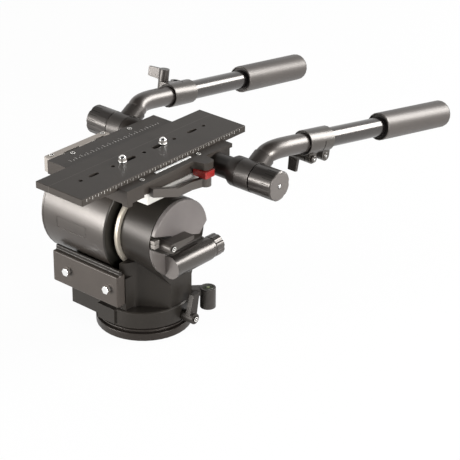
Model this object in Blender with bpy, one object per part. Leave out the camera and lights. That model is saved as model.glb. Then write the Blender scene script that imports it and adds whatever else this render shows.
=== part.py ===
# Fluid head for a video tripod, 150 mm class, with two pan handles.
# Metres, +Z up. The origin is the centre of the seat face, on the pan axis.
# +Y is the way the camera looks, +X is the right side, -X the operator's left.
import math

import bmesh
import bpy
from mathutils import Matrix, Vector

MM = 0.001

# Running and seating clearance between neighbouring pieces
GAP = 0.3 * MM
# How far a cutter runs past the face that it opens
OVERRUN = 2.0 * MM
# Faces round a large, a middle and a small round piece
LARGE_STEPS = 40
MIDDLE_STEPS = 20
SMALL_STEPS = 10

# The driving heights: the drum clears its floor, and the deck is built up from the top of the drum
DRUM_RADIUS = 69.2 * MM
DRUM_FLOOR_Z = 70.5 * MM
TILT_Z = DRUM_FLOOR_Z + DRUM_RADIUS
DECK_BASE = TILT_Z + DRUM_RADIUS

# Mounting base
BASE_RADIUS = 63.6 * MM
BASE_DISC_HEIGHT = 11.0 * MM
BASE_EDGE = 1.2 * MM
BASE_NECK_RADIUS = 58.0 * MM
BASE_RING_RADIUS = 61.0 * MM
BASE_RING_LOW = 13.0 * MM
BASE_RING_HIGH = 15.4 * MM
BASE_TOP = 17.6 * MM
SEAT_HOLE_RADIUS = 4.25 * MM
SEAT_HOLE_CIRCLE = 40.0 * MM
SEAT_HOLE_DEPTH = 9.0 * MM
SEAT_HOLE_COUNT = 4

# Pan spindle and its bearings
SPINDLE_RADIUS = 12.0 * MM
SPINDLE_FLANGE_RADIUS = 26.0 * MM
SPINDLE_FLANGE_HEIGHT = 5.0 * MM
SPINDLE_TOP = 63.0 * MM
SPINDLE_BORE_RADIUS = 18.0 * MM
SPINDLE_BORE_TOP = 65.5 * MM
PAN_BEARING_HEIGHT = 8.0 * MM
PAN_BEARING_LOW = 31.0 * MM
PAN_BEARING_HIGH = 47.0 * MM
SPINDLE_NUT_RADIUS = 16.0 * MM
SPINDLE_NUT_HEIGHT = 6.0 * MM

# Pan housing, the casting that carries everything above the base
SKIRT_RADIUS = 62.0 * MM
SKIRT_BOTTOM = 18.0 * MM
SKIRT_TOP = 41.0 * MM
SKIRT_EDGE = 1.5 * MM
COLUMN_FOOT = 20.0 * MM
CHEEK_FOOT = 35.0 * MM
ARM_BOTTOM = 18.4 * MM
SKIRT_CAVITY_RADIUS = 50.0 * MM
SKIRT_CAVITY_TOP = 30.0 * MM
SIDE_FACE_X = -58.7 * MM
COLUMN_REAR_Y = -28.0 * MM
COLUMN_FRONT_Y = 12.3 * MM
SHOULDER_X = -23.8 * MM
SHOULDER_Y = 34.7 * MM
SHOULDER_REAR_Y = -42.0 * MM
CHEEK_X = -16.0 * MM
CHEEK_Y = 49.0 * MM
BLOCK_HIGH_Z = 94.0 * MM
BLOCK_DRUM_CLEARANCE = 2.31 * MM
FRONT_FACE_Y = math.sqrt((DRUM_RADIUS + BLOCK_DRUM_CLEARANCE) ** 2 - (TILT_Z - BLOCK_HIGH_Z) ** 2)
BLOCK_TOP_RISE = -34.7 * MM
BLOCK_TOP = TILT_Z + BLOCK_TOP_RISE
LEFT_DRUM_END_X = -8.8 * MM
LEFT_DRUM_RADIUS = 51.1 * MM
LEFT_DRUM_RIM_RADIUS = 51.6 * MM
GUSSET_TOP_Y = 40.7 * MM
GUSSET_TOP_Z_RISE = -29.1 * MM
GUSSET_TOP_Z = TILT_Z + GUSSET_TOP_Z_RISE
GUSSET_FOOT_Z_RISE = -65.0 * MM
GUSSET_FOOT_Z = TILT_Z + GUSSET_FOOT_Z_RISE
ARM_LEFT_X = -20.0 * MM
ARM_RIGHT_X = 78.0 * MM
ARM_TOP = 86.0 * MM
CRADLE_CLEARANCE = 1.0 * MM
DRAG_CHAMBER_RADIUS = 40.0 * MM
DRAG_CHAMBER_X = -50.0 * MM

# Tilt axis, axle and the tilting drum
DRUM_LEFT_X = 3.0 * MM
DRUM_RIGHT_X = 116.5 * MM
DRUM_WALL = 5.0 * MM
DRUM_END_WALL = 6.0 * MM
DRUM_CAP_THICKNESS = 4.2 * MM
DRUM_EDGE = 1.5 * MM
AXLE_RADIUS = 10.0 * MM
AXLE_LEFT_X = -58.4 * MM
AXLE_RIGHT_X = 108.0 * MM
AXLE_FLANGE_RADIUS = 14.0 * MM
AXLE_FLANGE_LENGTH = 4.7 * MM
DRUM_SHOULDER_RADIUS = 48.0 * MM
DRUM_SHOULDER_X = -2.6 * MM
HUB_RADIUS = 17.0 * MM
HUB_BORE_RADIUS = 14.3 * MM
HUB_LEFT_X = -43.0 * MM
BEARING_LENGTH = 9.0 * MM
CAP_BOSS_RADIUS = 24.0 * MM
CAP_BOSS_LENGTH = 14.0 * MM
CAP_BORE_DEPTH = 12.0 * MM
SPRING_WIRE_RADIUS = 3.0 * MM
SPRING_COIL_RADIUS = 19.0 * MM
SPRING_START_X = 12.3 * MM
SPRING_END_X = 95.0 * MM
SPRING_TURNS = 7
SPRING_POINTS_A_TURN = 10
SPRING_SIDES = 5
ROTOR_RADIUS = 37.0 * MM
ROTOR_END_X = -22.0 * MM
STATOR_BORE_RADIUS = 19.0 * MM
STATOR_START_X = -49.6 * MM
STATOR_END_X = -36.0 * MM
DRAG_FILM = 0.4 * MM
COLLAR_RADIUS = 56.4 * MM
COLLAR_BORE_RADIUS = 45.0 * MM
COLLAR_WIDTH = 5.3 * MM
BADGE_LENGTH = 52.0 * MM
BADGE_HEIGHT = 15.0 * MM
BADGE_CENTRE_X = 61.0 * MM
BADGE_LOW_Z_RISE = -8.7 * MM
BADGE_LOW_Z = TILT_Z + BADGE_LOW_Z_RISE
BADGE_DEPTH = 1.2 * MM
BADGE_THICKNESS = 0.8 * MM
BADGE_STEPS = 6

# Side cover on the left drum
COVER_THICKNESS = 6.5 * MM
COVER_EDGE = 0.8 * MM
COVER_FACE_RADIUS = 51.1 * MM
COVER_CHORD_FRONT_Z_RISE = 18.3 * MM
COVER_CHORD_FRONT_Z = TILT_Z + COVER_CHORD_FRONT_Z_RISE
COVER_CHORD_REAR_Z_RISE = -8.2 * MM
COVER_CHORD_REAR_Z = TILT_Z + COVER_CHORD_REAR_Z_RISE
COVER_CORNER_Y = -36.0 * MM
COVER_REAR_Z_RISE = 6.3 * MM
COVER_REAR_Z = TILT_Z + COVER_REAR_Z_RISE

# Tilt drag cylinder, its ring and its knob
DRAG_X = -70.0 * MM
DRAG_Z_RISE = -30.7 * MM
DRAG_Z = TILT_Z + DRAG_Z_RISE
DRAG_RADIUS = 15.6 * MM
DRAG_FRONT_Y = 26.0 * MM
DRAG_REAR_Y = -43.7 * MM
DRAG_RING_RADIUS = 14.0 * MM
DRAG_RING_LENGTH = 5.4 * MM
DRAG_PAD_THICKNESS = 3.9 * MM
DRAG_PAD_FRONT_Z_RISE = 1.3 * MM
DRAG_PAD_FRONT_Z = TILT_Z + DRAG_PAD_FRONT_Z_RISE
DRAG_PAD_REAR_Z_RISE = -17.7 * MM
DRAG_PAD_REAR_Z = TILT_Z + DRAG_PAD_REAR_Z_RISE
DRAG_PAD_STEPS = 16
DRAG_PAD_INNER_Y = 22.8 * MM
DRAG_PAD_INNER_Z_RISE = -16.7 * MM
DRAG_PAD_INNER_Z = TILT_Z + DRAG_PAD_INNER_Z_RISE
DRAG_KNOB_EDGE = 1.0 * MM
DRAG_KNOB_RADIUS = 14.6 * MM
DRAG_KNOB_LENGTH = 15.0 * MM
DRAG_KNOB_FLUTES = 8
DRAG_KNOB_FLUTE_DEPTH = 1.4 * MM
DRAG_SHAFT_RADIUS = 6.0 * MM
DRAG_SHAFT_LENGTH = 34.0 * MM

# Tilt lock lever and its clamp boss
TILT_LEVER_Y = 33.0 * MM
TILT_LEVER_Z_RISE = 3.1 * MM
TILT_LEVER_Z = TILT_Z + TILT_LEVER_Z_RISE
TILT_LEVER_BARREL_RADIUS = 6.5 * MM
TILT_LEVER_OUTER_X = -83.0 * MM
TILT_LEVER_ARM_WIDTH = 12.0 * MM
TILT_LEVER_ARM_LENGTH = 40.0 * MM
TILT_LEVER_TIP_HALF = 2.6 * MM
TILT_LEVER_ARM_INSET = 1.0 * MM
TILT_LEVER_ARM_THICKNESS = 16.0 * MM
TILT_LEVER_TIP_RISE = 1.5 * MM
LEVER_SHAFT_RADIUS = 4.0 * MM
LEVER_SCREW_RADIUS = 2.4 * MM
LEVER_SCREW_DEPTH = 8.0 * MM
LEVER_SCREW_HEAD_RADIUS = 3.6 * MM
LEVER_SCREW_HEAD_HEIGHT = 1.4 * MM
CLAMP_BOSS_LOW_Y = 40.0 * MM
CLAMP_BOSS_HIGH_Y = 49.0 * MM
CLAMP_BOSS_LOW_Z_RISE = 2.3 * MM
CLAMP_BOSS_LOW_Z = TILT_Z + CLAMP_BOSS_LOW_Z_RISE
CLAMP_BOSS_HIGH_Z_RISE = 12.8 * MM
CLAMP_BOSS_HIGH_Z = TILT_Z + CLAMP_BOSS_HIGH_Z_RISE
CLAMP_BOSS_THICKNESS = 7.0 * MM
CLAMP_BOSS_BRIDGE = 3.0 * MM
CLAMP_BOSS_SLIT = 0.5 * MM
TILT_SHAFT_END_X = -50.4 * MM

# Pan lock lever
PAN_LEVER_Y = -9.0 * MM
PAN_LEVER_Z = 24.4 * MM
PAN_LEVER_OUTER_X = -82.0 * MM
PAN_LEVER_BARREL_RADIUS = 7.4 * MM
PAN_LEVER_BLADE_INNER_X = -70.0 * MM
PAN_LEVER_BLADE_OUTER_X = -77.5 * MM
PAN_LEVER_BLADE_TOP = 56.0 * MM
PAN_LEVER_BLADE_REAR_Y = -23.0 * MM
PAN_LEVER_BLADE_FRONT_Y = -11.0 * MM
PAN_LEVER_FOOT_HALF = 7.0 * MM
PAN_LEVER_SHAFT_X = -49.6 * MM
PAN_BRAKE_RADIUS = 48.5 * MM

# Level
LEVEL_X = -70.5 * MM
LEVEL_Y = -46.5 * MM
LEVEL_RADIUS = 10.5 * MM
LEVEL_TOP = 52.0 * MM
LEVEL_BOTTOM = 23.5 * MM
LEVEL_ARM_LOW = 42.0 * MM
LEVEL_ARM_HIGH = 51.0 * MM
LEVEL_ARM_NEAR_X = -59.0 * MM
LEVEL_ARM_NEAR_Y = -28.4 * MM
LEVEL_ARM_FAR_X = -46.0 * MM
LEVEL_ARM_FAR_Y = -33.6 * MM
LEVEL_ARM_SIDE = 8.0 * MM
VIAL_RADIUS = 7.2 * MM
VIAL_HEIGHT = 6.0 * MM

# Accessory block on the front of the housing, with its two bolts
BLOCK_LEFT_X = -20.0 * MM
BLOCK_RIGHT_X = 96.5 * MM
BLOCK_THICKNESS = 15.0 * MM
BLOCK_FRONT_Y = FRONT_FACE_Y + BLOCK_THICKNESS
BLOCK_LOW_Z = 50.0 * MM
BLOCK_EDGE = 1.2 * MM
BLOCK_LIP_HEIGHT = 6.5 * MM
BLOCK_LIP_THICKNESS = 4.5 * MM
BLOCK_LIP_INSET = 4.6 * MM
BOLT_LEFT_X = -4.5 * MM
BOLT_RIGHT_X = 67.8 * MM
BOLT_Z = 73.3 * MM
BOLT_HEAD_RADIUS = 5.8 * MM
BOLT_HEAD_HEIGHT = 6.5 * MM
BOLT_SHANK_RADIUS = 3.0 * MM
BOLT_DEPTH_IN_ARM = 12.0 * MM

# Raised panel on the front of the skirt
PANEL_LEFT_X = -8.0 * MM
PANEL_RIGHT_X = 22.0 * MM
PANEL_DEPTH = 9.5 * MM
PANEL_FRONT_Y = FRONT_FACE_Y + PANEL_DEPTH
PANEL_LOW_Z = 20.0 * MM
PANEL_HIGH_Z = 41.0 * MM
PANEL_OVERLAP = 8.0 * MM

# Slide base, the platform on top of the tilting drum
PLATFORM_LEFT_X = -56.0 * MM
PLATFORM_RIGHT_X = 82.5 * MM
PLATFORM_FRONT_Y = 85.5 * MM
PLATFORM_REAR_Y = -109.7 * MM
PLATFORM_TOP_RISE = 22.5 * MM
PLATFORM_TOP = DECK_BASE + PLATFORM_TOP_RISE
PLATFORM_BOTTOM_RISE = 4.3 * MM
PLATFORM_BOTTOM = DECK_BASE + PLATFORM_BOTTOM_RISE
PLATFORM_RECESS_X = -51.8 * MM
PLATFORM_RECESS_FRONT_Y = 55.0 * MM
FLANGE_BOTTOM_RISE = 17.1 * MM
FLANGE_BOTTOM = DECK_BASE + FLANGE_BOTTOM_RISE
FOOT_REAR_Y = 76.0 * MM
FOOT_FRONT_Y = 84.0 * MM
FOOT_LENGTH = 10.0 * MM
FOOT_DROP = 4.2 * MM
TONGUE_TOP_HALF = 20.0 * MM
TONGUE_FOOT_HALF = 25.0 * MM
TONGUE_BOTTOM_RISE = 8.7 * MM
TONGUE_BOTTOM = DECK_BASE + TONGUE_BOTTOM_RISE
TONGUE_FRONT_Y = 74.0 * MM
TONGUE_REAR_Y = -83.0 * MM
PLATFORM_SCREW_LEFT_X = -46.0 * MM
PLATFORM_SCREW_RIGHT_X = 74.6 * MM
PLATFORM_SCREW_FRONT_Y = 48.2 * MM
PLATFORM_SCREW_REAR_Y = -55.6 * MM
CAP_HEAD_RADIUS = 3.6 * MM
CAP_HEAD_HEIGHT = 3.6 * MM
CAP_SINK = 3.3 * MM
CAP_SHANK_RADIUS = 2.0 * MM
CAP_SHANK_LENGTH = 8.0 * MM
RAIL_WIDTH = 14.5 * MM
RAIL_FRONT_Y = 78.0 * MM
RAIL_REAR_Y = -30.0 * MM
RAIL_BOTTOM_RISE = 0.1 * MM
RAIL_BOTTOM = DECK_BASE + RAIL_BOTTOM_RISE
RAIL_TOP_RISE = 21.7 * MM
RAIL_TOP = DECK_BASE + RAIL_TOP_RISE
RAIL_EDGE = 1.5 * MM
RAIL_SLOT_WIDTH = 3.2 * MM
RAIL_SLOT_DEPTH = 9.0 * MM
RAIL_SLOT_FRONT_NEAR = 27.0 * MM
RAIL_SLOT_FRONT_FAR = 53.5 * MM
RAIL_SLOT_REAR_NEAR = -17.5 * MM
RAIL_SLOT_REAR_FAR = -1.6 * MM
RAIL_SCREW_X = 92.0 * MM
RAIL_SCREW_FRONT_Y = 69.0 * MM
RAIL_SCREW_REAR_Y = -22.5 * MM
STRIP_OUTER_X = -45.6 * MM
STRIP_INNER_X = -42.0 * MM
STRIP_FRONT_Y = 22.7 * MM
STRIP_REAR_Y = -42.7 * MM
STRIP_DEPTH = 1.0 * MM
STRIP_THICKNESS = 1.2 * MM

# Saddle between the drum and the slide base
SADDLE_LEFT_X = -52.4 * MM
SADDLE_RIGHT_X = 80.0 * MM
SADDLE_FRONT_Y = 45.8 * MM
SADDLE_REAR_Y = -56.0 * MM
SADDLE_BOTTOM_RISE = -10.9 * MM
SADDLE_BOTTOM = DECK_BASE + SADDLE_BOTTOM_RISE

# Camera plate and its two screws
PLATE_HALF_WIDTH = 40.15 * MM
PLATE_FRONT_Y = 145.8 * MM
PLATE_REAR_Y = -154.2 * MM
PLATE_TOP_RISE = 28.4 * MM
PLATE_TOP = DECK_BASE + PLATE_TOP_RISE
PLATE_THICKNESS = 9.4 * MM
PLATE_EDGE = 0.6 * MM
PLATE_HOLE_RADIUS = 2.8 * MM
PLATE_HOLE_PITCH = 56.3 * MM
PLATE_HOLE_COUNT = 5
PLATE_CLEARANCE = 0.4 * MM
LONG_SLOT_NEAR = 15.9 * MM
LONG_SLOT_FAR = 43.0 * MM
LONG_SLOT_WIDTH = 7.2 * MM
SHORT_SLOT_NEAR = 81.5 * MM
SHORT_SLOT_FAR = 98.5 * MM
SHORT_SLOT_WIDTH = 5.4 * MM
COUNTER_SLOT_WIDTH = 15.0 * MM
COUNTER_SLOT_DEPTH = 6.0 * MM
SCREW_FRONT_OFFSET = 39.0 * MM
SCREW_REAR_OFFSET = -35.0 * MM
SCREW_NECK_RADIUS = 3.2 * MM
SCREW_THREAD_RADIUS = 4.76 * MM
SCREW_THREAD_HEIGHT = 7.2 * MM
SCREW_HEAD_RADIUS = 5.6 * MM
SCREW_HEAD_HEIGHT = 1.2 * MM
SLIDER_RADIUS = 7.0 * MM
SCREW_DOME = 2.2 * MM
SLIDER_THICKNESS = 2.2 * MM

# Plate lock: lever, pivot, clamp jaw and red safety catch
LOCK_PIVOT_X = -66.0 * MM
LOCK_PIVOT_Y = -46.5 * MM
LOCK_PIN_RADIUS = 3.0 * MM
LOCK_PIN_COVER = 3.0 * MM
LOCK_HUB_RADIUS = 7.6 * MM
LOCK_HUB_LOW_RISE = -11.4 * MM
LOCK_HUB_LOW = DECK_BASE + LOCK_HUB_LOW_RISE
LOCK_BAR_HEIGHT = 11.5 * MM
LOCK_BAR_THICKNESS = 6.4 * MM
LOCK_ELBOW_X = -60.8 * MM
LOCK_ELBOW_Y = -24.0 * MM
LOCK_ELBOW_LOW_RISE = -11.4 * MM
LOCK_ELBOW_LOW = DECK_BASE + LOCK_ELBOW_LOW_RISE
LOCK_KNEE_X = -63.6 * MM
LOCK_KNEE_Y = 4.3 * MM
LOCK_KNEE_LOW_RISE = -9.4 * MM
LOCK_KNEE_LOW = DECK_BASE + LOCK_KNEE_LOW_RISE
LOCK_TIP_X = -57.6 * MM
LOCK_TIP_Y = 44.0 * MM
LOCK_TIP_LOW_RISE = 1.6 * MM
LOCK_TIP_LOW = DECK_BASE + LOCK_TIP_LOW_RISE
CATCH_LOW_RISE = 2.8 * MM
CATCH_LOW = DECK_BASE + CATCH_LOW_RISE
CATCH_HIGH_RISE = 11.9 * MM
CATCH_HIGH = DECK_BASE + CATCH_HIGH_RISE
CATCH_INNER_X = -54.5 * MM
CATCH_OUTER_X = -76.5 * MM
CATCH_FRONT_Y = -35.5 * MM
CATCH_REAR_Y = -53.0 * MM
CATCH_EDGE = 1.2 * MM
CATCH_TRAVEL = 2.0 * MM
EAR_BOTTOM_RISE = 12.5 * MM
EAR_BOTTOM = DECK_BASE + EAR_BOTTOM_RISE
EAR_OUTER_X = -74.0 * MM
EAR_FRONT_Y = -36.0 * MM
EAR_REAR_Y = -58.0 * MM
EAR_OVERLAP = 2.0 * MM
EAR_SHOULDER = 3.0 * MM
EAR_CORNER = 2.0 * MM

# Handle yoke under the rear of the slide base
ROSETTE_Y = -79.2 * MM
ROSETTE_Z_RISE = 4.6 * MM
ROSETTE_Z = DECK_BASE + ROSETTE_Z_RISE
YOKE_LEFT_X = -50.0 * MM
YOKE_RIGHT_X = 76.0 * MM
YOKE_FRONT_Y = -62.0 * MM
YOKE_REAR_Y = -97.0 * MM
YOKE_BOTTOM_RISE = -9.9 * MM
YOKE_BOTTOM = DECK_BASE + YOKE_BOTTOM_RISE
YOKE_NECK_RADIUS = 15.0 * MM
YOKE_CONE_LENGTH = 8.0 * MM
YOKE_SIDE_CLEARANCE = 0.4 * MM
YOKE_FACE_X = 99.9 * MM
YOKE_FACE_LENGTH = 11.0 * MM
ROSETTE_RADIUS = 20.0 * MM
STUD_RADIUS = 5.0 * MM
STUD_IN_YOKE = 13.0 * MM

# Handles: elbow, bent tube, clamp collar, sliding tube and grip
ELBOW_WIDTH = 23.0 * MM
ELBOW_CENTRE_X = 111.7 * MM
ELBOW_ARM_RADIUS = 14.5 * MM
ELBOW_END_Y = -106.2 * MM
ELBOW_END_Z_RISE = 21.4 * MM
ELBOW_END_Z = DECK_BASE + ELBOW_END_Z_RISE
ELBOW_SOCKET_DEPTH = 9.0 * MM
TUBE_LEAD = 3.0 * MM
ELBOW_FACE_CUT = 8.0 * MM
ELBOW_FACE_CLEARANCE = 0.6 * MM
BENT_TUBE_RADIUS = 13.0 * MM
TUBE_BORE_RADIUS = 11.0 * MM
MOUTH_X = 118.5 * MM
MOUTH_Y = -175.6 * MM
MOUTH_Z_RISE = 19.6 * MM
MOUTH_Z = DECK_BASE + MOUTH_Z_RISE
HANDLE_SPLAY = math.radians(2.6)
HANDLE_PITCH = math.radians(9.34)
BEND_CORNER_BACK = 62.2 * MM
BEND_RUN = 31.0 * MM
BEND_STEPS = 6
BEND_RUN_IN = 9.0 * MM
SWEEP_SIDES = 16
TUBE_IN_COLLAR = 14.0 * MM
TUBE_BORE_BACK = 30.0 * MM
COLLAR_SLEEVE_RADIUS = 16.6 * MM
COLLAR_SLEEVE_LENGTH = 47.0 * MM
COLLAR_MOUTH_RADIUS = 15.8 * MM
COLLAR_MOUTH_DEPTH = 6.0 * MM
COLLAR_EDGE = 0.6 * MM
LUG_OFFSET = 21.5 * MM
LUG_RADIUS = 7.0 * MM
LUG_NEAR_SIDE = 8.0 * MM
LUG_LEVER_SIDE = 13.8 * MM
LUG_FIXED_SIDE = 10.2 * MM
LUG_LEVER_ALONG = 15.1 * MM
LUG_FIXED_ALONG = 42.0 * MM
LUG_SLIT = 1.4 * MM
LUG_ROOT = 9.0 * MM
LUG_ARC_STEPS = 8
COLLAR_SLIT_START = 5.0 * MM
CROSS_SLIT_BACK = 3.0 * MM
CROSS_SLIT_ALONG = 27.5 * MM
CLAMP_BOLT_RADIUS = 3.0 * MM
CLAMP_BOLT_HEAD_RADIUS = 5.0 * MM
CLAMP_BOLT_HEAD_HEIGHT = 2.6 * MM
CLAMP_LEVER_HUB_RADIUS = 7.2 * MM
CLAMP_LEVER_HUB_LENGTH = 16.5 * MM
CLAMP_WING_REACH = 25.0 * MM
CLAMP_WING_THICKNESS = 4.6 * MM
CLAMP_WING_START = 0.5 * MM
CLAMP_WING_WIDTH = 15.8 * MM
CLAMP_WING_TAPER = 1.2 * MM
RIGHT_WING_TURN = math.radians(4)
SLIDE_TUBE_RADIUS = 13.0 * MM
SLIDE_TUBE_WALL = 2.0 * MM
SLIDE_TUBE_START = 26.0 * MM
GRIP_MOUTH = 157.5 * MM
RIGHT_GRIP_EXTENSION = 6.5 * MM
GRIP_LENGTH = 145.2 * MM
GRIP_RADIUS = 19.0 * MM
GRIP_MOUTH_RADIUS = 17.6 * MM
GRIP_MOUTH_DEPTH = 7.0 * MM
GRIP_END_WALL = 9.0 * MM
GRIP_EDGE = 1.0 * MM
GRIP_END_ROUND = 7.0 * MM
GRIP_ROUND_STEPS = 4

# Rosette knobs
KNOB_RADIUS = 19.9 * MM
KNOB_OUTER_X = 160.4 * MM
KNOB_FLUTES = 6
KNOB_FLUTE_DEPTH = 1.1 * MM
KNOB_EDGE = 1.5 * MM

X_AXIS = Vector((1, 0, 0))
Y_AXIS = Vector((0, 1, 0))
Z_AXIS = Vector((0, 0, 1))


def clear_scene():
    for thing in list(bpy.data.objects):
        bpy.data.objects.remove(thing, do_unlink=True)


def finish_material(name, colour, roughness, metallic):
    material = bpy.data.materials.new(name)
    material.use_nodes = True
    shader = material.node_tree.nodes["Principled BSDF"]
    shader.inputs["Base Color"].default_value = (*colour, 1.0)
    shader.inputs["Roughness"].default_value = roughness
    shader.inputs["Metallic"].default_value = metallic
    return material


FINISHES = {
    "dark_anodised": ((0.055, 0.050, 0.046), 0.42, 0.7),
    "satin_casting": ((0.075, 0.068, 0.064), 0.40, 0.6),
    "bare_aluminium": ((0.62, 0.59, 0.55), 0.35, 1.0),
    "champagne_ring": ((0.30, 0.26, 0.21), 0.35, 1.0),
    "cover_grey": ((0.20, 0.19, 0.19), 0.50, 0.3),
    "bright_steel": ((0.75, 0.74, 0.72), 0.22, 1.0),
    "plain_steel": ((0.42, 0.41, 0.40), 0.40, 1.0),
    "gloss_black": ((0.020, 0.018, 0.017), 0.18, 0.4),
    "moulded_rubber": ((0.045, 0.041, 0.038), 0.85, 0.0),
    "moulded_black": ((0.030, 0.027, 0.025), 0.45, 0.0),
    "signal_red": ((0.45, 0.02, 0.02), 0.35, 0.0),
    "index_white": ((0.80, 0.80, 0.80), 0.60, 0.0),
    "friction_lining": ((0.12, 0.09, 0.06), 0.80, 0.0),
    "level_glass": ((0.35, 0.45, 0.20), 0.08, 0.0),
    "spring_steel": ((0.30, 0.30, 0.31), 0.35, 1.0),
}


def face_outwards(shape):
    """Turn every face of a closed shape outwards."""
    bmesh.ops.recalc_face_normals(shape, faces=shape.faces)
    if shape.calc_volume(signed=True) < 0:
        bmesh.ops.reverse_faces(shape, faces=shape.faces)


def make(name, shape, finish, smooth=30.0, origin=None):
    """Turn a bmesh into one named object, with its origin where it turns."""
    face_outwards(shape)
    place = Vector(origin) if origin is not None else Vector((0, 0, 0))
    bmesh.ops.translate(shape, vec=-place, verts=shape.verts)
    mesh = bpy.data.meshes.new(name)
    shape.to_mesh(mesh)
    shape.free()
    mesh.shade_smooth()
    mesh.set_sharp_from_angle(angle=math.radians(smooth))
    thing = bpy.data.objects.new(name, mesh)
    thing.location = place
    bpy.context.collection.objects.link(thing)
    colour, roughness, metallic = FINISHES[finish]
    mesh.materials.append(finish_material(name, colour, roughness, metallic))
    return thing


def tool(name, shape):
    """A hidden shape that only cuts or completes another piece."""
    thing = make(name, shape, "plain_steel")
    thing.hide_render = True
    thing.display_type = 'WIRE'
    return thing


def combine(target, name, shape, operation, solver):
    change = target.modifiers.new(name, 'BOOLEAN')
    change.object = tool(target.name + "_" + name, shape)
    change.operation = operation
    change.solver = solver
    return change


def cut(target, name, shape, solver='EXACT'):
    return combine(target, name, shape, 'DIFFERENCE', solver)


def unite(target, name, shape, solver='EXACT'):
    return combine(target, name, shape, 'UNION', solver)


def soften(target, width, segments=1):
    """A small bevel on every sharp edge."""
    edge = target.modifiers.new("edge", 'BEVEL')
    edge.width = width
    edge.segments = segments
    edge.limit_method = 'ANGLE'
    edge.angle_limit = math.radians(40)
    return edge


def turned(profile, centre, axis, steps, ring=False):
    """Turn a profile of (radius, distance along the axis) pairs about an axis."""
    shape = bmesh.new()
    corners = [shape.verts.new((radius, 0, along)) for radius, along in profile]
    for first, second in zip(corners, corners[1:]):
        shape.edges.new((first, second))
    if ring:
        shape.edges.new((corners[-1], corners[0]))
    bmesh.ops.spin(
        shape, geom=shape.verts[:] + shape.edges[:], cent=(0, 0, 0), axis=(0, 0, 1),
        angle=math.tau, steps=steps, use_merge=True)
    bmesh.ops.remove_doubles(shape, verts=shape.verts, dist=0.001 * MM)
    spare = [edge for edge in shape.edges if not edge.link_faces]
    bmesh.ops.delete(shape, geom=spare, context='EDGES')
    turn = Z_AXIS.rotation_difference(Vector(axis).normalized()).to_matrix().to_4x4()
    shape.transform(Matrix.Translation(Vector(centre)) @ turn)
    return shape


def rod(radius, start, end, steps):
    """A plain round bar from one point to another."""
    start = Vector(start)
    span = Vector(end) - start
    profile = [(0, 0), (radius, 0), (radius, span.length), (0, span.length)]
    return turned(profile, start, span, steps)


def along_x(radius, start, end, y, z, steps):
    return rod(radius, (start, y, z), (end, y, z), steps)


def ring_x(outer, inner, start, end, steps):
    """A ring on the tilt axis."""
    profile = [(outer, start), (outer, end), (inner, end), (inner, start)]
    return turned(profile, (0, 0, TILT_Z), X_AXIS, steps, ring=True)


def ring_z(outer, inner, low, high, steps):
    """A ring on the pan axis."""
    profile = [(outer, low), (outer, high), (inner, high), (inner, low)]
    return turned(profile, (0, 0, 0), Z_AXIS, steps, ring=True)


def prism(outline, axis, start, end):
    """Extrude an outline along X, Y or Z. The outline holds the other two coordinates."""
    places = {
        'X': lambda pair, depth: (depth, pair[0], pair[1]),
        'Y': lambda pair, depth: (pair[0], depth, pair[1]),
        'Z': lambda pair, depth: (pair[0], pair[1], depth),
    }
    place = places[axis]
    shape = bmesh.new()
    near = [shape.verts.new(place(pair, start)) for pair in outline]
    face = shape.faces.new(near)
    grown = bmesh.ops.extrude_face_region(shape, geom=[face])
    moved = [item for item in grown["geom"] if isinstance(item, bmesh.types.BMVert)]
    shift = Vector(place((0, 0), end)) - Vector(place((0, 0), start))
    bmesh.ops.translate(shape, vec=shift, verts=moved)
    return shape


def box(low, high):
    outline = [(low[0], low[1]), (high[0], low[1]), (high[0], high[1]), (low[0], high[1])]
    return prism(outline, 'Z', low[2], high[2])


def arc(centre, radius, start, end, steps):
    """Points on a circle from one angle to another, in degrees."""
    points = []
    for step in range(steps + 1):
        angle = math.radians(start + (end - start) * step / steps)
        across = centre[0] + radius * math.cos(angle)
        points.append((across, centre[1] + radius * math.sin(angle)))
    return points


def fluted_outline(radius, depth, flutes, steps_a_flute=6):
    """A circle with narrow grooves, for a knob that fingers hold."""
    steps = flutes * steps_a_flute
    points = []
    for step in range(steps):
        sunk = depth if step % steps_a_flute == 0 else 0
        angle = math.tau * step / steps
        reach = radius - sunk
        points.append((reach * math.cos(angle), reach * math.sin(angle)))
    return points


def slot_outline(centre_x, near, far, width):
    """A slot along Y with round ends."""
    half = width / 2
    ends = arc((centre_x, far - half), half, 0, 180, 6)
    return ends + arc((centre_x, near + half), half, 180, 360, 6)


def swept(path, radius, sides):
    """A round bar along a path, closed at both ends."""
    shape = bmesh.new()
    rings = []
    for index, point in enumerate(path):
        before = path[max(index - 1, 0)]
        after = path[min(index + 1, len(path) - 1)]
        heading = (after - before).normalized()
        side = heading.cross(Z_AXIS).normalized()
        up = side.cross(heading)
        ring = []
        for step in range(sides):
            angle = math.tau * step / sides
            reach = side * math.cos(angle) + up * math.sin(angle)
            ring.append(shape.verts.new(point + reach * radius))
        rings.append(ring)
    close_rings(shape, rings, sides)
    return shape


# Base and pan bearing

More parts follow.
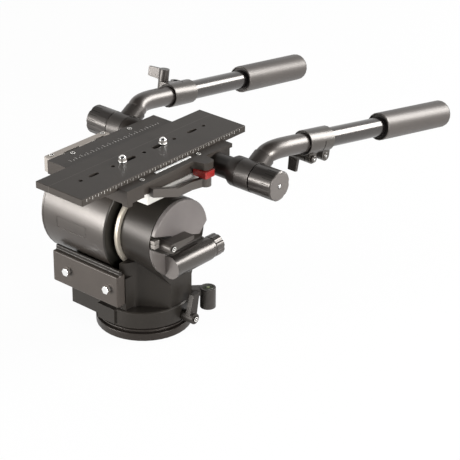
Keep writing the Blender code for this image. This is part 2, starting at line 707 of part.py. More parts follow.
def build_mounting_base():
    profile = [
        (0, 0), (BASE_RADIUS - BASE_EDGE, 0), (BASE_RADIUS, BASE_EDGE),
        (BASE_RADIUS, BASE_DISC_HEIGHT - BASE_EDGE / 2),
        (BASE_RADIUS - BASE_EDGE / 2, BASE_DISC_HEIGHT), (BASE_NECK_RADIUS, BASE_DISC_HEIGHT),
        (BASE_NECK_RADIUS, BASE_RING_LOW), (BASE_RING_RADIUS, BASE_RING_LOW),
        (BASE_RING_RADIUS, BASE_RING_HIGH), (BASE_NECK_RADIUS, BASE_RING_HIGH),
        (BASE_NECK_RADIUS, BASE_TOP), (0, BASE_TOP)]
    base = make("mounting_base", turned(profile, (0, 0, 0), Z_AXIS, LARGE_STEPS), "dark_anodised")
    for number in range(SEAT_HOLE_COUNT):
        angle = math.tau * (number + 0.5) / SEAT_HOLE_COUNT
        x = SEAT_HOLE_CIRCLE * math.cos(angle)
        y = SEAT_HOLE_CIRCLE * math.sin(angle)
        hole = rod(SEAT_HOLE_RADIUS, (x, y, -OVERRUN), (x, y, SEAT_HOLE_DEPTH), SMALL_STEPS)
        cut(base, "seat_hole_%d" % number, hole)


def build_pan_spindle():
    bottom = BASE_TOP + GAP
    flange_top = bottom + SPINDLE_FLANGE_HEIGHT
    profile = [
        (0, bottom), (SPINDLE_FLANGE_RADIUS, bottom), (SPINDLE_FLANGE_RADIUS, flange_top),
        (SPINDLE_RADIUS, flange_top), (SPINDLE_RADIUS, SPINDLE_TOP), (0, SPINDLE_TOP)]
    make("pan_spindle", turned(profile, (0, 0, 0), Z_AXIS, MIDDLE_STEPS), "plain_steel")


def build_pan_bearings():
    inner = SPINDLE_RADIUS + GAP
    outer = SPINDLE_BORE_RADIUS - GAP
    for name, low in (("lower", PAN_BEARING_LOW), ("upper", PAN_BEARING_HIGH)):
        ring = ring_z(outer, inner, low, low + PAN_BEARING_HEIGHT, MIDDLE_STEPS)
        make("pan_bearing_" + name, ring, "bright_steel")
    nut_low = PAN_BEARING_HIGH + PAN_BEARING_HEIGHT + GAP
    nut_high = nut_low + SPINDLE_NUT_HEIGHT
    hexagon = rod(SPINDLE_NUT_RADIUS, (0, 0, nut_low), (0, 0, nut_high), 6)
    nut = make("spindle_nut", hexagon, "plain_steel", smooth=20.0)
    cut(nut, "bore", rod(inner, (0, 0, nut_low - OVERRUN), (0, 0, nut_high + OVERRUN), MIDDLE_STEPS))
    low = BASE_TOP + SPINDLE_FLANGE_HEIGHT + 2 * GAP
    high = SKIRT_CAVITY_TOP - GAP
    disc = ring_z(PAN_BRAKE_RADIUS, SPINDLE_RADIUS + GAP, low, high, LARGE_STEPS)
    make("pan_drag_disc", disc, "friction_lining")


# Pan housing

def build_pan_housing():
    skirt_profile = [
        (0, SKIRT_BOTTOM), (SKIRT_RADIUS, SKIRT_BOTTOM), (SKIRT_RADIUS, SKIRT_TOP - SKIRT_EDGE),
        (SKIRT_RADIUS - SKIRT_EDGE, SKIRT_TOP), (0, SKIRT_TOP)]
    housing = make("pan_housing", turned(skirt_profile, (0, 0, 0), Z_AXIS, LARGE_STEPS), "satin_casting")
    column = [
        (SIDE_FACE_X, COLUMN_REAR_Y), (SIDE_FACE_X, COLUMN_FRONT_Y), (SHOULDER_X, SHOULDER_Y),
        (SHOULDER_X, SHOULDER_REAR_Y)]
    unite(housing, "column", prism(column, 'Z', COLUMN_FOOT, TILT_Z))
    rough_end = LEFT_DRUM_END_X + OVERRUN
    cheek = [
        (SHOULDER_X, -CHEEK_Y), (SHOULDER_X, SHOULDER_Y), (CHEEK_X, CHEEK_Y),
        (rough_end, FRONT_FACE_Y), (rough_end, -FRONT_FACE_Y), (CHEEK_X, -FRONT_FACE_Y)]
    unite(housing, "cheek", prism(cheek, 'Z', CHEEK_FOOT, BLOCK_TOP))
    gusset = [
        (GUSSET_TOP_Y, GUSSET_TOP_Z), (COLUMN_FRONT_Y, GUSSET_FOOT_Z), (COLUMN_REAR_Y, GUSSET_FOOT_Z),
        (-GUSSET_TOP_Y, GUSSET_TOP_Z), (0, TILT_Z)]
    unite(housing, "gusset", prism(gusset, 'X', SIDE_FACE_X, SHOULDER_X))
    drum_profile = [
        (0, SIDE_FACE_X), (LEFT_DRUM_RIM_RADIUS, SIDE_FACE_X), (LEFT_DRUM_RADIUS, LEFT_DRUM_END_X),
        (LEFT_DRUM_RADIUS, rough_end), (0, rough_end)]
    unite(housing, "drum", turned(drum_profile, (0, 0, TILT_Z), X_AXIS, LARGE_STEPS))
    arm_low = (ARM_LEFT_X, -FRONT_FACE_Y, ARM_BOTTOM)
    arm_high = (ARM_RIGHT_X, FRONT_FACE_Y, ARM_TOP)
    unite(housing, "arm", box(arm_low, arm_high))
    panel_low = (PANEL_LEFT_X, FRONT_FACE_Y - PANEL_OVERLAP, PANEL_LOW_Z)
    panel_high = (PANEL_RIGHT_X, PANEL_FRONT_Y, PANEL_HIGH_Z)
    unite(housing, "panel", box(panel_low, panel_high))
    cradle_end = ARM_RIGHT_X + OVERRUN
    cradle = along_x(DRUM_RADIUS + CRADLE_CLEARANCE, LEFT_DRUM_END_X, cradle_end, 0, TILT_Z, LARGE_STEPS)
    cut(housing, "cradle", cradle, 'MANIFOLD')
    chamber_end = LEFT_DRUM_END_X + OVERRUN
    chamber = along_x(DRAG_CHAMBER_RADIUS, DRAG_CHAMBER_X, chamber_end, 0, TILT_Z, LARGE_STEPS)
    cut(housing, "drag_chamber", chamber, 'MANIFOLD')
    wall_start = SIDE_FACE_X - OVERRUN
    wall_end = DRAG_CHAMBER_X + OVERRUN
    axle_bore = along_x(AXLE_RADIUS + GAP, wall_start, wall_end, 0, TILT_Z, MIDDLE_STEPS)
    cut(housing, "axle_bore", axle_bore, 'MANIFOLD')
    lever_bore = along_x(
        LEVER_SHAFT_RADIUS + GAP, wall_start, wall_end, TILT_LEVER_Y, TILT_LEVER_Z, SMALL_STEPS)
    cut(housing, "tilt_lever_bore", lever_bore, 'MANIFOLD')
    cavity_low = SKIRT_BOTTOM - OVERRUN
    cavity = rod(SKIRT_CAVITY_RADIUS, (0, 0, cavity_low), (0, 0, SKIRT_CAVITY_TOP), LARGE_STEPS)
    cut(housing, "skirt_cavity", cavity, 'MANIFOLD')
    spindle_low = SKIRT_CAVITY_TOP - OVERRUN
    spindle_bore = rod(SPINDLE_BORE_RADIUS, (0, 0, spindle_low), (0, 0, SPINDLE_BORE_TOP), MIDDLE_STEPS)
    cut(housing, "spindle_bore", spindle_bore, 'MANIFOLD')
    pan_bore_end = -SKIRT_CAVITY_RADIUS + OVERRUN
    pan_bore = along_x(
        LEVER_SHAFT_RADIUS + GAP, -SKIRT_RADIUS - OVERRUN, pan_bore_end, PAN_LEVER_Y, PAN_LEVER_Z,
        SMALL_STEPS)
    cut(housing, "pan_lever_bore", pan_bore, 'MANIFOLD')
    for side, x in (("left", BOLT_LEFT_X), ("right", BOLT_RIGHT_X)):
        inner = (x, FRONT_FACE_Y - BOLT_DEPTH_IN_ARM - GAP, BOLT_Z)
        outer = (x, FRONT_FACE_Y + OVERRUN, BOLT_Z)
        hole = rod(BOLT_SHANK_RADIUS + GAP, inner, outer, SMALL_STEPS)
        cut(housing, "bolt_hole_" + side, hole, 'MANIFOLD')


def headed(shank_radius, head_radius, centre, axis, foot, seat, top, steps):
    """A screw in one piece: shank from the foot to the seat, head from the seat to the top."""
    profile = [
        (0, foot), (shank_radius, foot), (shank_radius, seat), (head_radius, seat),
        (head_radius, top), (0, top)]
    return turned(profile, centre, axis, steps)


def build_accessory_block():
    low = (BLOCK_LEFT_X, FRONT_FACE_Y + GAP, BLOCK_LOW_Z)
    high = (BLOCK_RIGHT_X, BLOCK_FRONT_Y, BLOCK_HIGH_Z)
    block = make("accessory_block", box(low, high), "dark_anodised")
    lip_rear = FRONT_FACE_Y + BLOCK_LIP_INSET
    lip_low = (BLOCK_LEFT_X, lip_rear, BLOCK_LOW_Z)
    lip_high = (BLOCK_RIGHT_X, lip_rear + BLOCK_LIP_THICKNESS, BLOCK_HIGH_Z + BLOCK_LIP_HEIGHT)
    unite(block, "lip", box(lip_low, lip_high))
    soften(block, BLOCK_EDGE)
    for side, x in (("left", BOLT_LEFT_X), ("right", BOLT_RIGHT_X)):
        hole_start = (x, FRONT_FACE_Y - OVERRUN, BOLT_Z)
        hole_end = (x, BLOCK_FRONT_Y + OVERRUN, BOLT_Z)
        cut(block, "bolt_hole_" + side, rod(BOLT_SHANK_RADIUS + GAP, hole_start, hole_end, SMALL_STEPS))
        foot = FRONT_FACE_Y - BOLT_DEPTH_IN_ARM
        seat = BLOCK_FRONT_Y + GAP
        top = seat + BOLT_HEAD_HEIGHT
        bolt = headed(BOLT_SHANK_RADIUS, BOLT_HEAD_RADIUS, (x, 0, BOLT_Z), Y_AXIS, foot, seat, top, 6)
        make("accessory_bolt_" + side, bolt, "bright_steel", smooth=20.0)


def build_side_cover():
    radius = COVER_FACE_RADIUS
    front_lift = COVER_CHORD_FRONT_Z - TILT_Z
    rear_lift = COVER_REAR_Z - TILT_Z
    front_angle = math.degrees(math.asin(front_lift / radius))
    rear_angle = 180.0 - math.degrees(math.asin(rear_lift / radius))
    outline = arc((0, TILT_Z), radius, front_angle, rear_angle, LARGE_STEPS // 2)
    outline.append((COVER_CORNER_Y, COVER_CHORD_REAR_Z))
    inner_x = SIDE_FACE_X - GAP
    cover = make("side_cover", prism(outline, 'X', inner_x, SIDE_FACE_X - COVER_THICKNESS), "cover_grey")
    soften(cover, COVER_EDGE, 2)


def build_clamp_boss():
    inner_x = SIDE_FACE_X - GAP
    low = (inner_x - CLAMP_BOSS_THICKNESS, CLAMP_BOSS_LOW_Y, CLAMP_BOSS_LOW_Z)
    high = (inner_x, CLAMP_BOSS_HIGH_Y, CLAMP_BOSS_HIGH_Z)
    boss = make("tilt_clamp_boss", box(low, high), "plain_steel")
    slit_middle = (CLAMP_BOSS_LOW_Z + CLAMP_BOSS_HIGH_Z) / 2
    slit_low = (low[0] - OVERRUN, CLAMP_BOSS_LOW_Y + CLAMP_BOSS_BRIDGE, slit_middle - CLAMP_BOSS_SLIT / 2)
    slit_high = (inner_x + OVERRUN, CLAMP_BOSS_HIGH_Y + OVERRUN, slit_middle + CLAMP_BOSS_SLIT / 2)
    cut(boss, "slit", box(slit_low, slit_high))


def build_collar_ring():
    start = LEFT_DRUM_END_X + GAP
    ring = ring_x(COLLAR_RADIUS, COLLAR_BORE_RADIUS, start, start + COLLAR_WIDTH, LARGE_STEPS)
    make("collar_ring", ring, "champagne_ring")


# Tilt mechanism

def build_axle():
    flange_start = DRAG_CHAMBER_X + GAP
    flange_end = flange_start + AXLE_FLANGE_LENGTH
    profile = [
        (0, AXLE_LEFT_X), (AXLE_RADIUS, AXLE_LEFT_X), (AXLE_RADIUS, flange_start),
        (AXLE_FLANGE_RADIUS, flange_start), (AXLE_FLANGE_RADIUS, flange_end),
        (AXLE_RADIUS, flange_end), (AXLE_RADIUS, AXLE_RIGHT_X), (0, AXLE_RIGHT_X)]
    make("tilt_axle", turned(profile, (0, 0, TILT_Z), X_AXIS, MIDDLE_STEPS), "plain_steel")
    cap_bearing_x = DRUM_RIGHT_X - CAP_BORE_DEPTH - DRUM_CAP_THICKNESS
    for name, start in (("left", HUB_LEFT_X + GAP), ("right", cap_bearing_x)):
        ring = ring_x(HUB_BORE_RADIUS - GAP, AXLE_RADIUS + GAP, start, start + BEARING_LENGTH, MIDDLE_STEPS)
        make("tilt_bearing_" + name, ring, "bright_steel")
    plate = ring_x(
        DRAG_CHAMBER_RADIUS - GAP, STATOR_BORE_RADIUS, STATOR_START_X, STATOR_END_X, MIDDLE_STEPS)
    make("tilt_drag_stator", plate, "plain_steel")
    rotor = ring_x(ROTOR_RADIUS, HUB_RADIUS + GAP, STATOR_END_X + DRAG_FILM, ROTOR_END_X, MIDDLE_STEPS)
    make("tilt_drag_rotor", rotor, "friction_lining", origin=(0, 0, TILT_Z))


def badge_segment(inner, outer, margin):
    """A slice of a tube on the front of the drum, round the tilt axis."""
    low_angle = math.asin((BADGE_LOW_Z - TILT_Z) / DRUM_RADIUS) + margin / DRUM_RADIUS
    high_angle = math.asin((BADGE_LOW_Z + BADGE_HEIGHT - TILT_Z) / DRUM_RADIUS) - margin / DRUM_RADIUS
    low_degrees = math.degrees(low_angle)
    high_degrees = math.degrees(high_angle)
    outline = arc((0, TILT_Z), outer, low_degrees, high_degrees, BADGE_STEPS)
    outline += arc((0, TILT_Z), inner, high_degrees, low_degrees, BADGE_STEPS)
    half = BADGE_LENGTH / 2 - margin
    return prism(outline, 'X', BADGE_CENTRE_X - half, BADGE_CENTRE_X + half)


def build_tilting_drum():
    inner = DRUM_RADIUS - DRUM_WALL
    rim_x = DRUM_RIGHT_X - DRUM_CAP_THICKNESS - GAP
    wall_x = DRUM_LEFT_X + DRUM_END_WALL
    profile = [
        (DRUM_SHOULDER_RADIUS, DRUM_LEFT_X), (DRUM_RADIUS - DRUM_EDGE, DRUM_LEFT_X),
        (DRUM_RADIUS, DRUM_LEFT_X + DRUM_EDGE), (DRUM_RADIUS, rim_x), (inner, rim_x), (inner, wall_x),
        (HUB_BORE_RADIUS, wall_x), (HUB_BORE_RADIUS, HUB_LEFT_X), (HUB_RADIUS, HUB_LEFT_X),
        (HUB_RADIUS, DRUM_SHOULDER_X), (DRUM_SHOULDER_RADIUS, DRUM_SHOULDER_X)]
    shape = turned(profile, (0, 0, TILT_Z), X_AXIS, LARGE_STEPS, ring=True)
    drum = make("tilting_drum", shape, "satin_casting", origin=(0, 0, TILT_Z))
    floor = DRUM_RADIUS - BADGE_DEPTH
    cut(drum, "badge_recess", badge_segment(floor, DRUM_RADIUS + OVERRUN, 0))
    badge = badge_segment(floor + GAP, floor + BADGE_THICKNESS, GAP)
    make("blank_name_plate", badge, "dark_anodised")
    face_x = DRUM_RIGHT_X - DRUM_CAP_THICKNESS
    boss_x = face_x - CAP_BOSS_LENGTH
    bore_x = boss_x + CAP_BORE_DEPTH
    cap_profile = [
        (0, DRUM_RIGHT_X), (DRUM_RADIUS - DRUM_EDGE, DRUM_RIGHT_X), (DRUM_RADIUS, DRUM_RIGHT_X - DRUM_EDGE),
        (DRUM_RADIUS, face_x), (CAP_BOSS_RADIUS, face_x), (CAP_BOSS_RADIUS, boss_x),
        (HUB_BORE_RADIUS, boss_x), (HUB_BORE_RADIUS, bore_x), (0, bore_x)]
    make("drum_end_cap", turned(cap_profile, (0, 0, TILT_Z), X_AXIS, LARGE_STEPS), "satin_casting")


def build_balance_spring():
    points = SPRING_TURNS * SPRING_POINTS_A_TURN
    path = []
    for step in range(points + 1):
        angle = math.tau * step / SPRING_POINTS_A_TURN
        x = SPRING_START_X + (SPRING_END_X - SPRING_START_X) * step / points
        y = SPRING_COIL_RADIUS * math.cos(angle)
        z = TILT_Z + SPRING_COIL_RADIUS * math.sin(angle)
        path.append(Vector((x, y, z)))
    make("balance_spring", coiled(path, SPRING_WIRE_RADIUS, SPRING_SIDES), "spring_steel")


def coiled(path, radius, sides):
    """A round wire along a coil that winds about the tilt axis."""
    shape = bmesh.new()
    rings = []
    for index, point in enumerate(path):
        before = path[max(index - 1, 0)]
        after = path[min(index + 1, len(path) - 1)]
        heading = (after - before).normalized()
        outward = Vector((0, point.y, point.z - TILT_Z)).normalized()
        side = heading.cross(outward).normalized()
        outward = side.cross(heading)
        ring = []
        for step in range(sides):
            angle = math.tau * step / sides
            reach = side * math.cos(angle) + outward * math.sin(angle)
            ring.append(shape.verts.new(point + reach * radius))
        rings.append(ring)
    close_rings(shape, rings, sides)
    return shape


def close_rings(shape, rings, sides):
    """Skin a row of rings and close both ends."""
    for first, second in zip(rings, rings[1:]):
        for step in range(sides):
            following = (step + 1) % sides
            shape.faces.new((first[step], first[following], second[following], second[step]))
    shape.faces.new(rings[0])
    shape.faces.new(rings[-1])


# Drag cylinder, levers and level

def build_drag_cylinder():
    centre_rear = (DRAG_X, DRAG_REAR_Y, DRAG_Z)
    cylinder = rod(DRAG_RADIUS, centre_rear, (DRAG_X, DRAG_FRONT_Y, DRAG_Z), MIDDLE_STEPS)
    housing = make("drag_cylinder", cylinder, "satin_casting")
    inner_x = SIDE_FACE_X - GAP
    front_angle = math.degrees(math.asin((DRAG_PAD_FRONT_Z - TILT_Z) / COVER_FACE_RADIUS))
    rear_angle = -180.0 - math.degrees(math.asin((DRAG_PAD_REAR_Z - TILT_Z) / COVER_FACE_RADIUS))
    pad = arc((0, TILT_Z), COVER_FACE_RADIUS, front_angle, rear_angle, DRAG_PAD_STEPS)
    pad.append((DRAG_PAD_INNER_Y, DRAG_PAD_INNER_Z))
    pad_outer_x = SIDE_FACE_X - DRAG_PAD_THICKNESS
    unite(housing, "pad", prism(pad, 'X', pad_outer_x, inner_x + OVERRUN), 'MANIFOLD')
    ring_end = (DRAG_X, DRAG_REAR_Y - DRAG_RING_LENGTH, DRAG_Z)
    ring = rod(DRAG_RING_RADIUS, (DRAG_X, DRAG_REAR_Y + OVERRUN, DRAG_Z), ring_end, MIDDLE_STEPS)
    unite(housing, "ring", ring, 'MANIFOLD')
    reach = COVER_FACE_RADIUS + OVERRUN
    trim_low = (inner_x, -reach, TILT_Z - reach)
    trim_high = (inner_x + DRAG_RADIUS, reach, TILT_Z + reach)
    cut(housing, "side_face", box(trim_low, trim_high), 'MANIFOLD')
    knob_front = DRAG_REAR_Y - DRAG_RING_LENGTH - GAP
    shaft_front = knob_front + DRAG_SHAFT_LENGTH
    bore_start = (DRAG_X, knob_front - OVERRUN, DRAG_Z)
    bore_end = (DRAG_X, shaft_front + GAP, DRAG_Z)
    cut(housing, "shaft_bore", rod(DRAG_SHAFT_RADIUS + GAP, bore_start, bore_end, MIDDLE_STEPS), 'MANIFOLD')
    outline = fluted_outline(DRAG_KNOB_RADIUS, DRAG_KNOB_FLUTE_DEPTH, DRAG_KNOB_FLUTES)
    outline = [(DRAG_X + pair[0], DRAG_Z + pair[1]) for pair in outline]
    shape = prism(outline, 'Y', knob_front, knob_front - DRAG_KNOB_LENGTH)
    knob = make("tilt_drag_knob", shape, "moulded_black", origin=(DRAG_X, knob_front, DRAG_Z))
    soften(knob, DRAG_KNOB_EDGE)
    shaft_rear = (DRAG_X, knob_front - OVERRUN, DRAG_Z)
    shaft = rod(DRAG_SHAFT_RADIUS, shaft_rear, (DRAG_X, shaft_front, DRAG_Z), SMALL_STEPS)
    unite(knob, "shaft", shaft)


def build_tilt_lever():
    barrel_x = SIDE_FACE_X - GAP
    pivot = (barrel_x, TILT_LEVER_Y, TILT_LEVER_Z)
    barrel = along_x(
        TILT_LEVER_BARREL_RADIUS, TILT_LEVER_OUTER_X, barrel_x, TILT_LEVER_Y, TILT_LEVER_Z, MIDDLE_STEPS)
    lever = make("tilt_lock_lever", barrel, "moulded_black", origin=pivot)
    half = TILT_LEVER_ARM_WIDTH / 2
    tip_y = TILT_LEVER_Y - TILT_LEVER_ARM_LENGTH
    tip_z = TILT_LEVER_Z + TILT_LEVER_TIP_RISE
    outline = [
        (TILT_LEVER_Y, TILT_LEVER_Z + half), (TILT_LEVER_Y, TILT_LEVER_Z - half),
        (tip_y, tip_z - TILT_LEVER_TIP_HALF), (tip_y, tip_z + TILT_LEVER_TIP_HALF)]
    arm_start = TILT_LEVER_OUTER_X + TILT_LEVER_ARM_INSET
    unite(lever, "arm", prism(outline, 'X', arm_start, arm_start + TILT_LEVER_ARM_THICKNESS), 'MANIFOLD')
    shaft = along_x(
        LEVER_SHAFT_RADIUS, barrel_x - OVERRUN, TILT_SHAFT_END_X, TILT_LEVER_Y, TILT_LEVER_Z, SMALL_STEPS)
    unite(lever, "shaft", shaft, 'MANIFOLD')
    build_lever_screw(lever, "tilt_lever_screw", TILT_LEVER_OUTER_X, TILT_LEVER_Y, TILT_LEVER_Z)


def build_lever_screw(lever, name, outer_x, y, z):
    """The bright screw in the outer end of a lever's barrel."""
    foot = outer_x + LEVER_SCREW_DEPTH
    hole = along_x(LEVER_SCREW_RADIUS + GAP, outer_x - OVERRUN, foot + GAP, y, z, SMALL_STEPS)
    cut(lever, "screw_hole", hole, 'MANIFOLD')
    seat = outer_x - GAP
    screw = headed(
        LEVER_SCREW_RADIUS, LEVER_SCREW_HEAD_RADIUS, (0, y, z), -X_AXIS, -foot, -seat,
        -seat + LEVER_SCREW_HEAD_HEIGHT, SMALL_STEPS)
    make(name, screw, "bright_steel")


def build_pan_lever():
    barrel_x = -math.sqrt(SKIRT_RADIUS ** 2 - (abs(PAN_LEVER_Y) - PAN_LEVER_BARREL_RADIUS) ** 2) - GAP
    pivot = (barrel_x, PAN_LEVER_Y, PAN_LEVER_Z)
    barrel = along_x(
        PAN_LEVER_BARREL_RADIUS, PAN_LEVER_OUTER_X, barrel_x, PAN_LEVER_Y, PAN_LEVER_Z, MIDDLE_STEPS)
    lever = make("pan_lock_lever", barrel, "moulded_black", origin=pivot)
    outline = [
        (PAN_LEVER_Y + PAN_LEVER_FOOT_HALF, PAN_LEVER_Z), (PAN_LEVER_BLADE_FRONT_Y, PAN_LEVER_BLADE_TOP),
        (PAN_LEVER_BLADE_REAR_Y, PAN_LEVER_BLADE_TOP), (PAN_LEVER_Y - PAN_LEVER_FOOT_HALF, PAN_LEVER_Z)]
    unite(lever, "blade", prism(outline, 'X', PAN_LEVER_BLADE_OUTER_X, PAN_LEVER_BLADE_INNER_X), 'MANIFOLD')
    shaft = along_x(
        LEVER_SHAFT_RADIUS, barrel_x - OVERRUN, PAN_LEVER_SHAFT_X, PAN_LEVER_Y, PAN_LEVER_Z, SMALL_STEPS)
    unite(lever, "shaft", shaft, 'MANIFOLD')
    build_lever_screw(lever, "pan_lever_screw", PAN_LEVER_OUTER_X, PAN_LEVER_Y, PAN_LEVER_Z)


def build_level():
    body = rod(LEVEL_RADIUS, (LEVEL_X, LEVEL_Y, LEVEL_BOTTOM), (LEVEL_X, LEVEL_Y, LEVEL_TOP), MIDDLE_STEPS)
    holder = make("level_holder", body, "moulded_black")
    arm = [
        (LEVEL_ARM_NEAR_X, LEVEL_ARM_NEAR_Y), (LEVEL_ARM_FAR_X, LEVEL_ARM_FAR_Y),
        (LEVEL_X + LEVEL_ARM_SIDE / 2, LEVEL_Y - LEVEL_ARM_SIDE), (LEVEL_X - LEVEL_ARM_SIDE, LEVEL_Y)]
    unite(holder, "arm", prism(arm, 'Z', LEVEL_ARM_LOW, LEVEL_ARM_HIGH))
    floor = LEVEL_TOP - VIAL_HEIGHT - GAP
    pocket_top = (LEVEL_X, LEVEL_Y, LEVEL_TOP + OVERRUN)
    pocket = rod(VIAL_RADIUS + GAP, (LEVEL_X, LEVEL_Y, floor), pocket_top, MIDDLE_STEPS)
    cut(holder, "vial_pocket", pocket)
    vial = rod(VIAL_RADIUS, (LEVEL_X, LEVEL_Y, floor + GAP), (LEVEL_X, LEVEL_Y, LEVEL_TOP), MIDDLE_STEPS)
    make("level_vial", vial, "level_glass")


# Slide base, saddle and handle yoke

def build_saddle():
    low = (SADDLE_LEFT_X, SADDLE_REAR_Y, SADDLE_BOTTOM)
    high = (SADDLE_RIGHT_X, SADDLE_FRONT_Y, PLATFORM_BOTTOM - GAP)
    saddle = make("tilt_saddle", box(low, high), "bare_aluminium")
    cradle = along_x(
        DRUM_RADIUS + GAP, DRUM_LEFT_X - GAP, SADDLE_RIGHT_X + OVERRUN, 0, TILT_Z, LARGE_STEPS)
    cut(saddle, "drum_seat", cradle)


def build_slide_base():
    left = PLATFORM_LEFT_X
    outline = [
        (left, PLATFORM_FRONT_Y), (PLATFORM_RIGHT_X, PLATFORM_FRONT_Y), (PLATFORM_RIGHT_X, PLATFORM_REAR_Y),
        (left, PLATFORM_REAR_Y)]
    base = make("slide_base", prism(outline, 'Z', PLATFORM_BOTTOM, PLATFORM_TOP), "dark_anodised")
    recess_low = (left - OVERRUN, PLATFORM_REAR_Y - OVERRUN, PLATFORM_BOTTOM - OVERRUN)
    recess_high = (PLATFORM_RECESS_X, PLATFORM_RECESS_FRONT_Y, FLANGE_BOTTOM)
    cut(base, "side_recess", box(recess_low, recess_high))
    ear = [
        (left + EAR_OVERLAP, EAR_FRONT_Y + EAR_SHOULDER), (left - EAR_SHOULDER, EAR_FRONT_Y),
        (EAR_OUTER_X + EAR_SHOULDER, EAR_FRONT_Y - EAR_CORNER), (EAR_OUTER_X, EAR_FRONT_Y - 3 * EAR_CORNER),
        (EAR_OUTER_X, EAR_REAR_Y + 3 * EAR_CORNER), (EAR_OUTER_X + EAR_SHOULDER, EAR_REAR_Y + EAR_CORNER),
        (left - EAR_SHOULDER, EAR_REAR_Y), (left + EAR_OVERLAP, EAR_REAR_Y - EAR_SHOULDER)]
    unite(base, "ear", prism(ear, 'Z', EAR_BOTTOM, PLATFORM_TOP))
    foot_low = (left, FOOT_REAR_Y, PLATFORM_BOTTOM - FOOT_DROP)
    foot_high = (left + FOOT_LENGTH, FOOT_FRONT_Y, PLATFORM_BOTTOM + OVERRUN)
    unite(base, "foot", box(foot_low, foot_high))
    channel_half = PLATE_HALF_WIDTH + PLATE_CLEARANCE
    channel_floor = PLATE_TOP - PLATE_THICKNESS - GAP
    channel_low = (-channel_half, PLATFORM_REAR_Y - OVERRUN, channel_floor)
    channel_high = (channel_half, PLATFORM_FRONT_Y + OVERRUN, PLATFORM_TOP + OVERRUN)
    cut(base, "plate_channel", box(channel_low, channel_high))
    groove = tongue_outline(PLATE_CLEARANCE, TONGUE_BOTTOM - GAP, channel_floor + OVERRUN)
    groove_tool = prism(groove, 'Y', PLATFORM_REAR_Y - OVERRUN, PLATFORM_FRONT_Y + OVERRUN)
    cut(base, "tongue_groove", groove_tool)
    strip_low = (STRIP_OUTER_X - GAP, STRIP_REAR_Y - GAP, PLATFORM_TOP - STRIP_DEPTH)
    strip_high = (STRIP_INNER_X + GAP, STRIP_FRONT_Y + GAP, PLATFORM_TOP + OVERRUN)
    cut(base, "strip_recess", box(strip_low, strip_high))
    strip_floor = PLATFORM_TOP - STRIP_DEPTH + GAP
    strip = box(
        (STRIP_OUTER_X, STRIP_REAR_Y, strip_floor),
        (STRIP_INNER_X, STRIP_FRONT_Y, strip_floor + STRIP_THICKNESS))
    make("index_strip", strip, "index_white")
    for side, x in (("left", PLATFORM_SCREW_LEFT_X), ("right", PLATFORM_SCREW_RIGHT_X)):
        cap_screw(base, "platform_screw_front_" + side, x, PLATFORM_SCREW_FRONT_Y, PLATFORM_TOP)
        cap_screw(base, "platform_screw_rear_" + side, x, PLATFORM_SCREW_REAR_Y, PLATFORM_TOP)
    pin_top = PLATFORM_TOP - LOCK_PIN_COVER
    pin_hole = rod(
        LOCK_PIN_RADIUS + GAP, (LOCK_PIVOT_X, LOCK_PIVOT_Y, EAR_BOTTOM - OVERRUN),
        (LOCK_PIVOT_X, LOCK_PIVOT_Y, pin_top + GAP), SMALL_STEPS)
    cut(base, "lock_pin_hole", pin_hole)


def tongue_outline(grow, bottom, top):
    """Dovetail section in the XZ plane, wide at the bottom. The flanks run on past the top."""
    slope = (TONGUE_FOOT_HALF - TONGUE_TOP_HALF) / (PLATE_TOP - PLATE_THICKNESS - TONGUE_BOTTOM)
    top_half = TONGUE_FOOT_HALF - slope * (top - TONGUE_BOTTOM) + grow
    bottom_half = TONGUE_FOOT_HALF - slope * (bottom - TONGUE_BOTTOM) + grow
    return [(-bottom_half, bottom), (bottom_half, bottom), (top_half, top), (-top_half, top)]


def cap_screw(holder, name, x, y, surface):
    """A round-headed screw that stands in the top of its holder."""
    seat = surface - CAP_SINK
    foot = seat - CAP_SHANK_LENGTH
    hole = headed(
        CAP_SHANK_RADIUS + GAP, CAP_HEAD_RADIUS + GAP, (x, y, 0), Z_AXIS, foot - GAP, seat - GAP,
        surface + OVERRUN, SMALL_STEPS)
    cut(holder, name + "_hole", hole)
    top = seat + CAP_HEAD_HEIGHT
    screw = headed(CAP_SHANK_RADIUS, CAP_HEAD_RADIUS, (x, y, 0), Z_AXIS, foot, seat, top, SMALL_STEPS)
    make(name, screw, "bright_steel")


def build_clamp_rail():
    inner_x = PLATFORM_RIGHT_X + GAP
    low = (inner_x, RAIL_REAR_Y, RAIL_BOTTOM)
    high = (inner_x + RAIL_WIDTH, RAIL_FRONT_Y, RAIL_TOP)
    rail = make("clamp_rail", box(low, high), "plain_steel")
    soften(rail, RAIL_EDGE)
    slots = ((RAIL_SLOT_FRONT_NEAR, RAIL_SLOT_FRONT_FAR), (RAIL_SLOT_REAR_NEAR, RAIL_SLOT_REAR_FAR))
    for number, (near, far) in enumerate(slots):
        slot_low = (inner_x - OVERRUN, near, RAIL_TOP - RAIL_SLOT_DEPTH)
        slot_high = (inner_x + RAIL_SLOT_WIDTH, far, RAIL_TOP + OVERRUN)
        cut(rail, "slot_%d" % number, box(slot_low, slot_high))
    cap_screw(rail, "rail_screw_front", RAIL_SCREW_X, RAIL_SCREW_FRONT_Y, RAIL_TOP)
    cap_screw(rail, "rail_screw_rear", RAIL_SCREW_X, RAIL_SCREW_REAR_Y, RAIL_TOP)


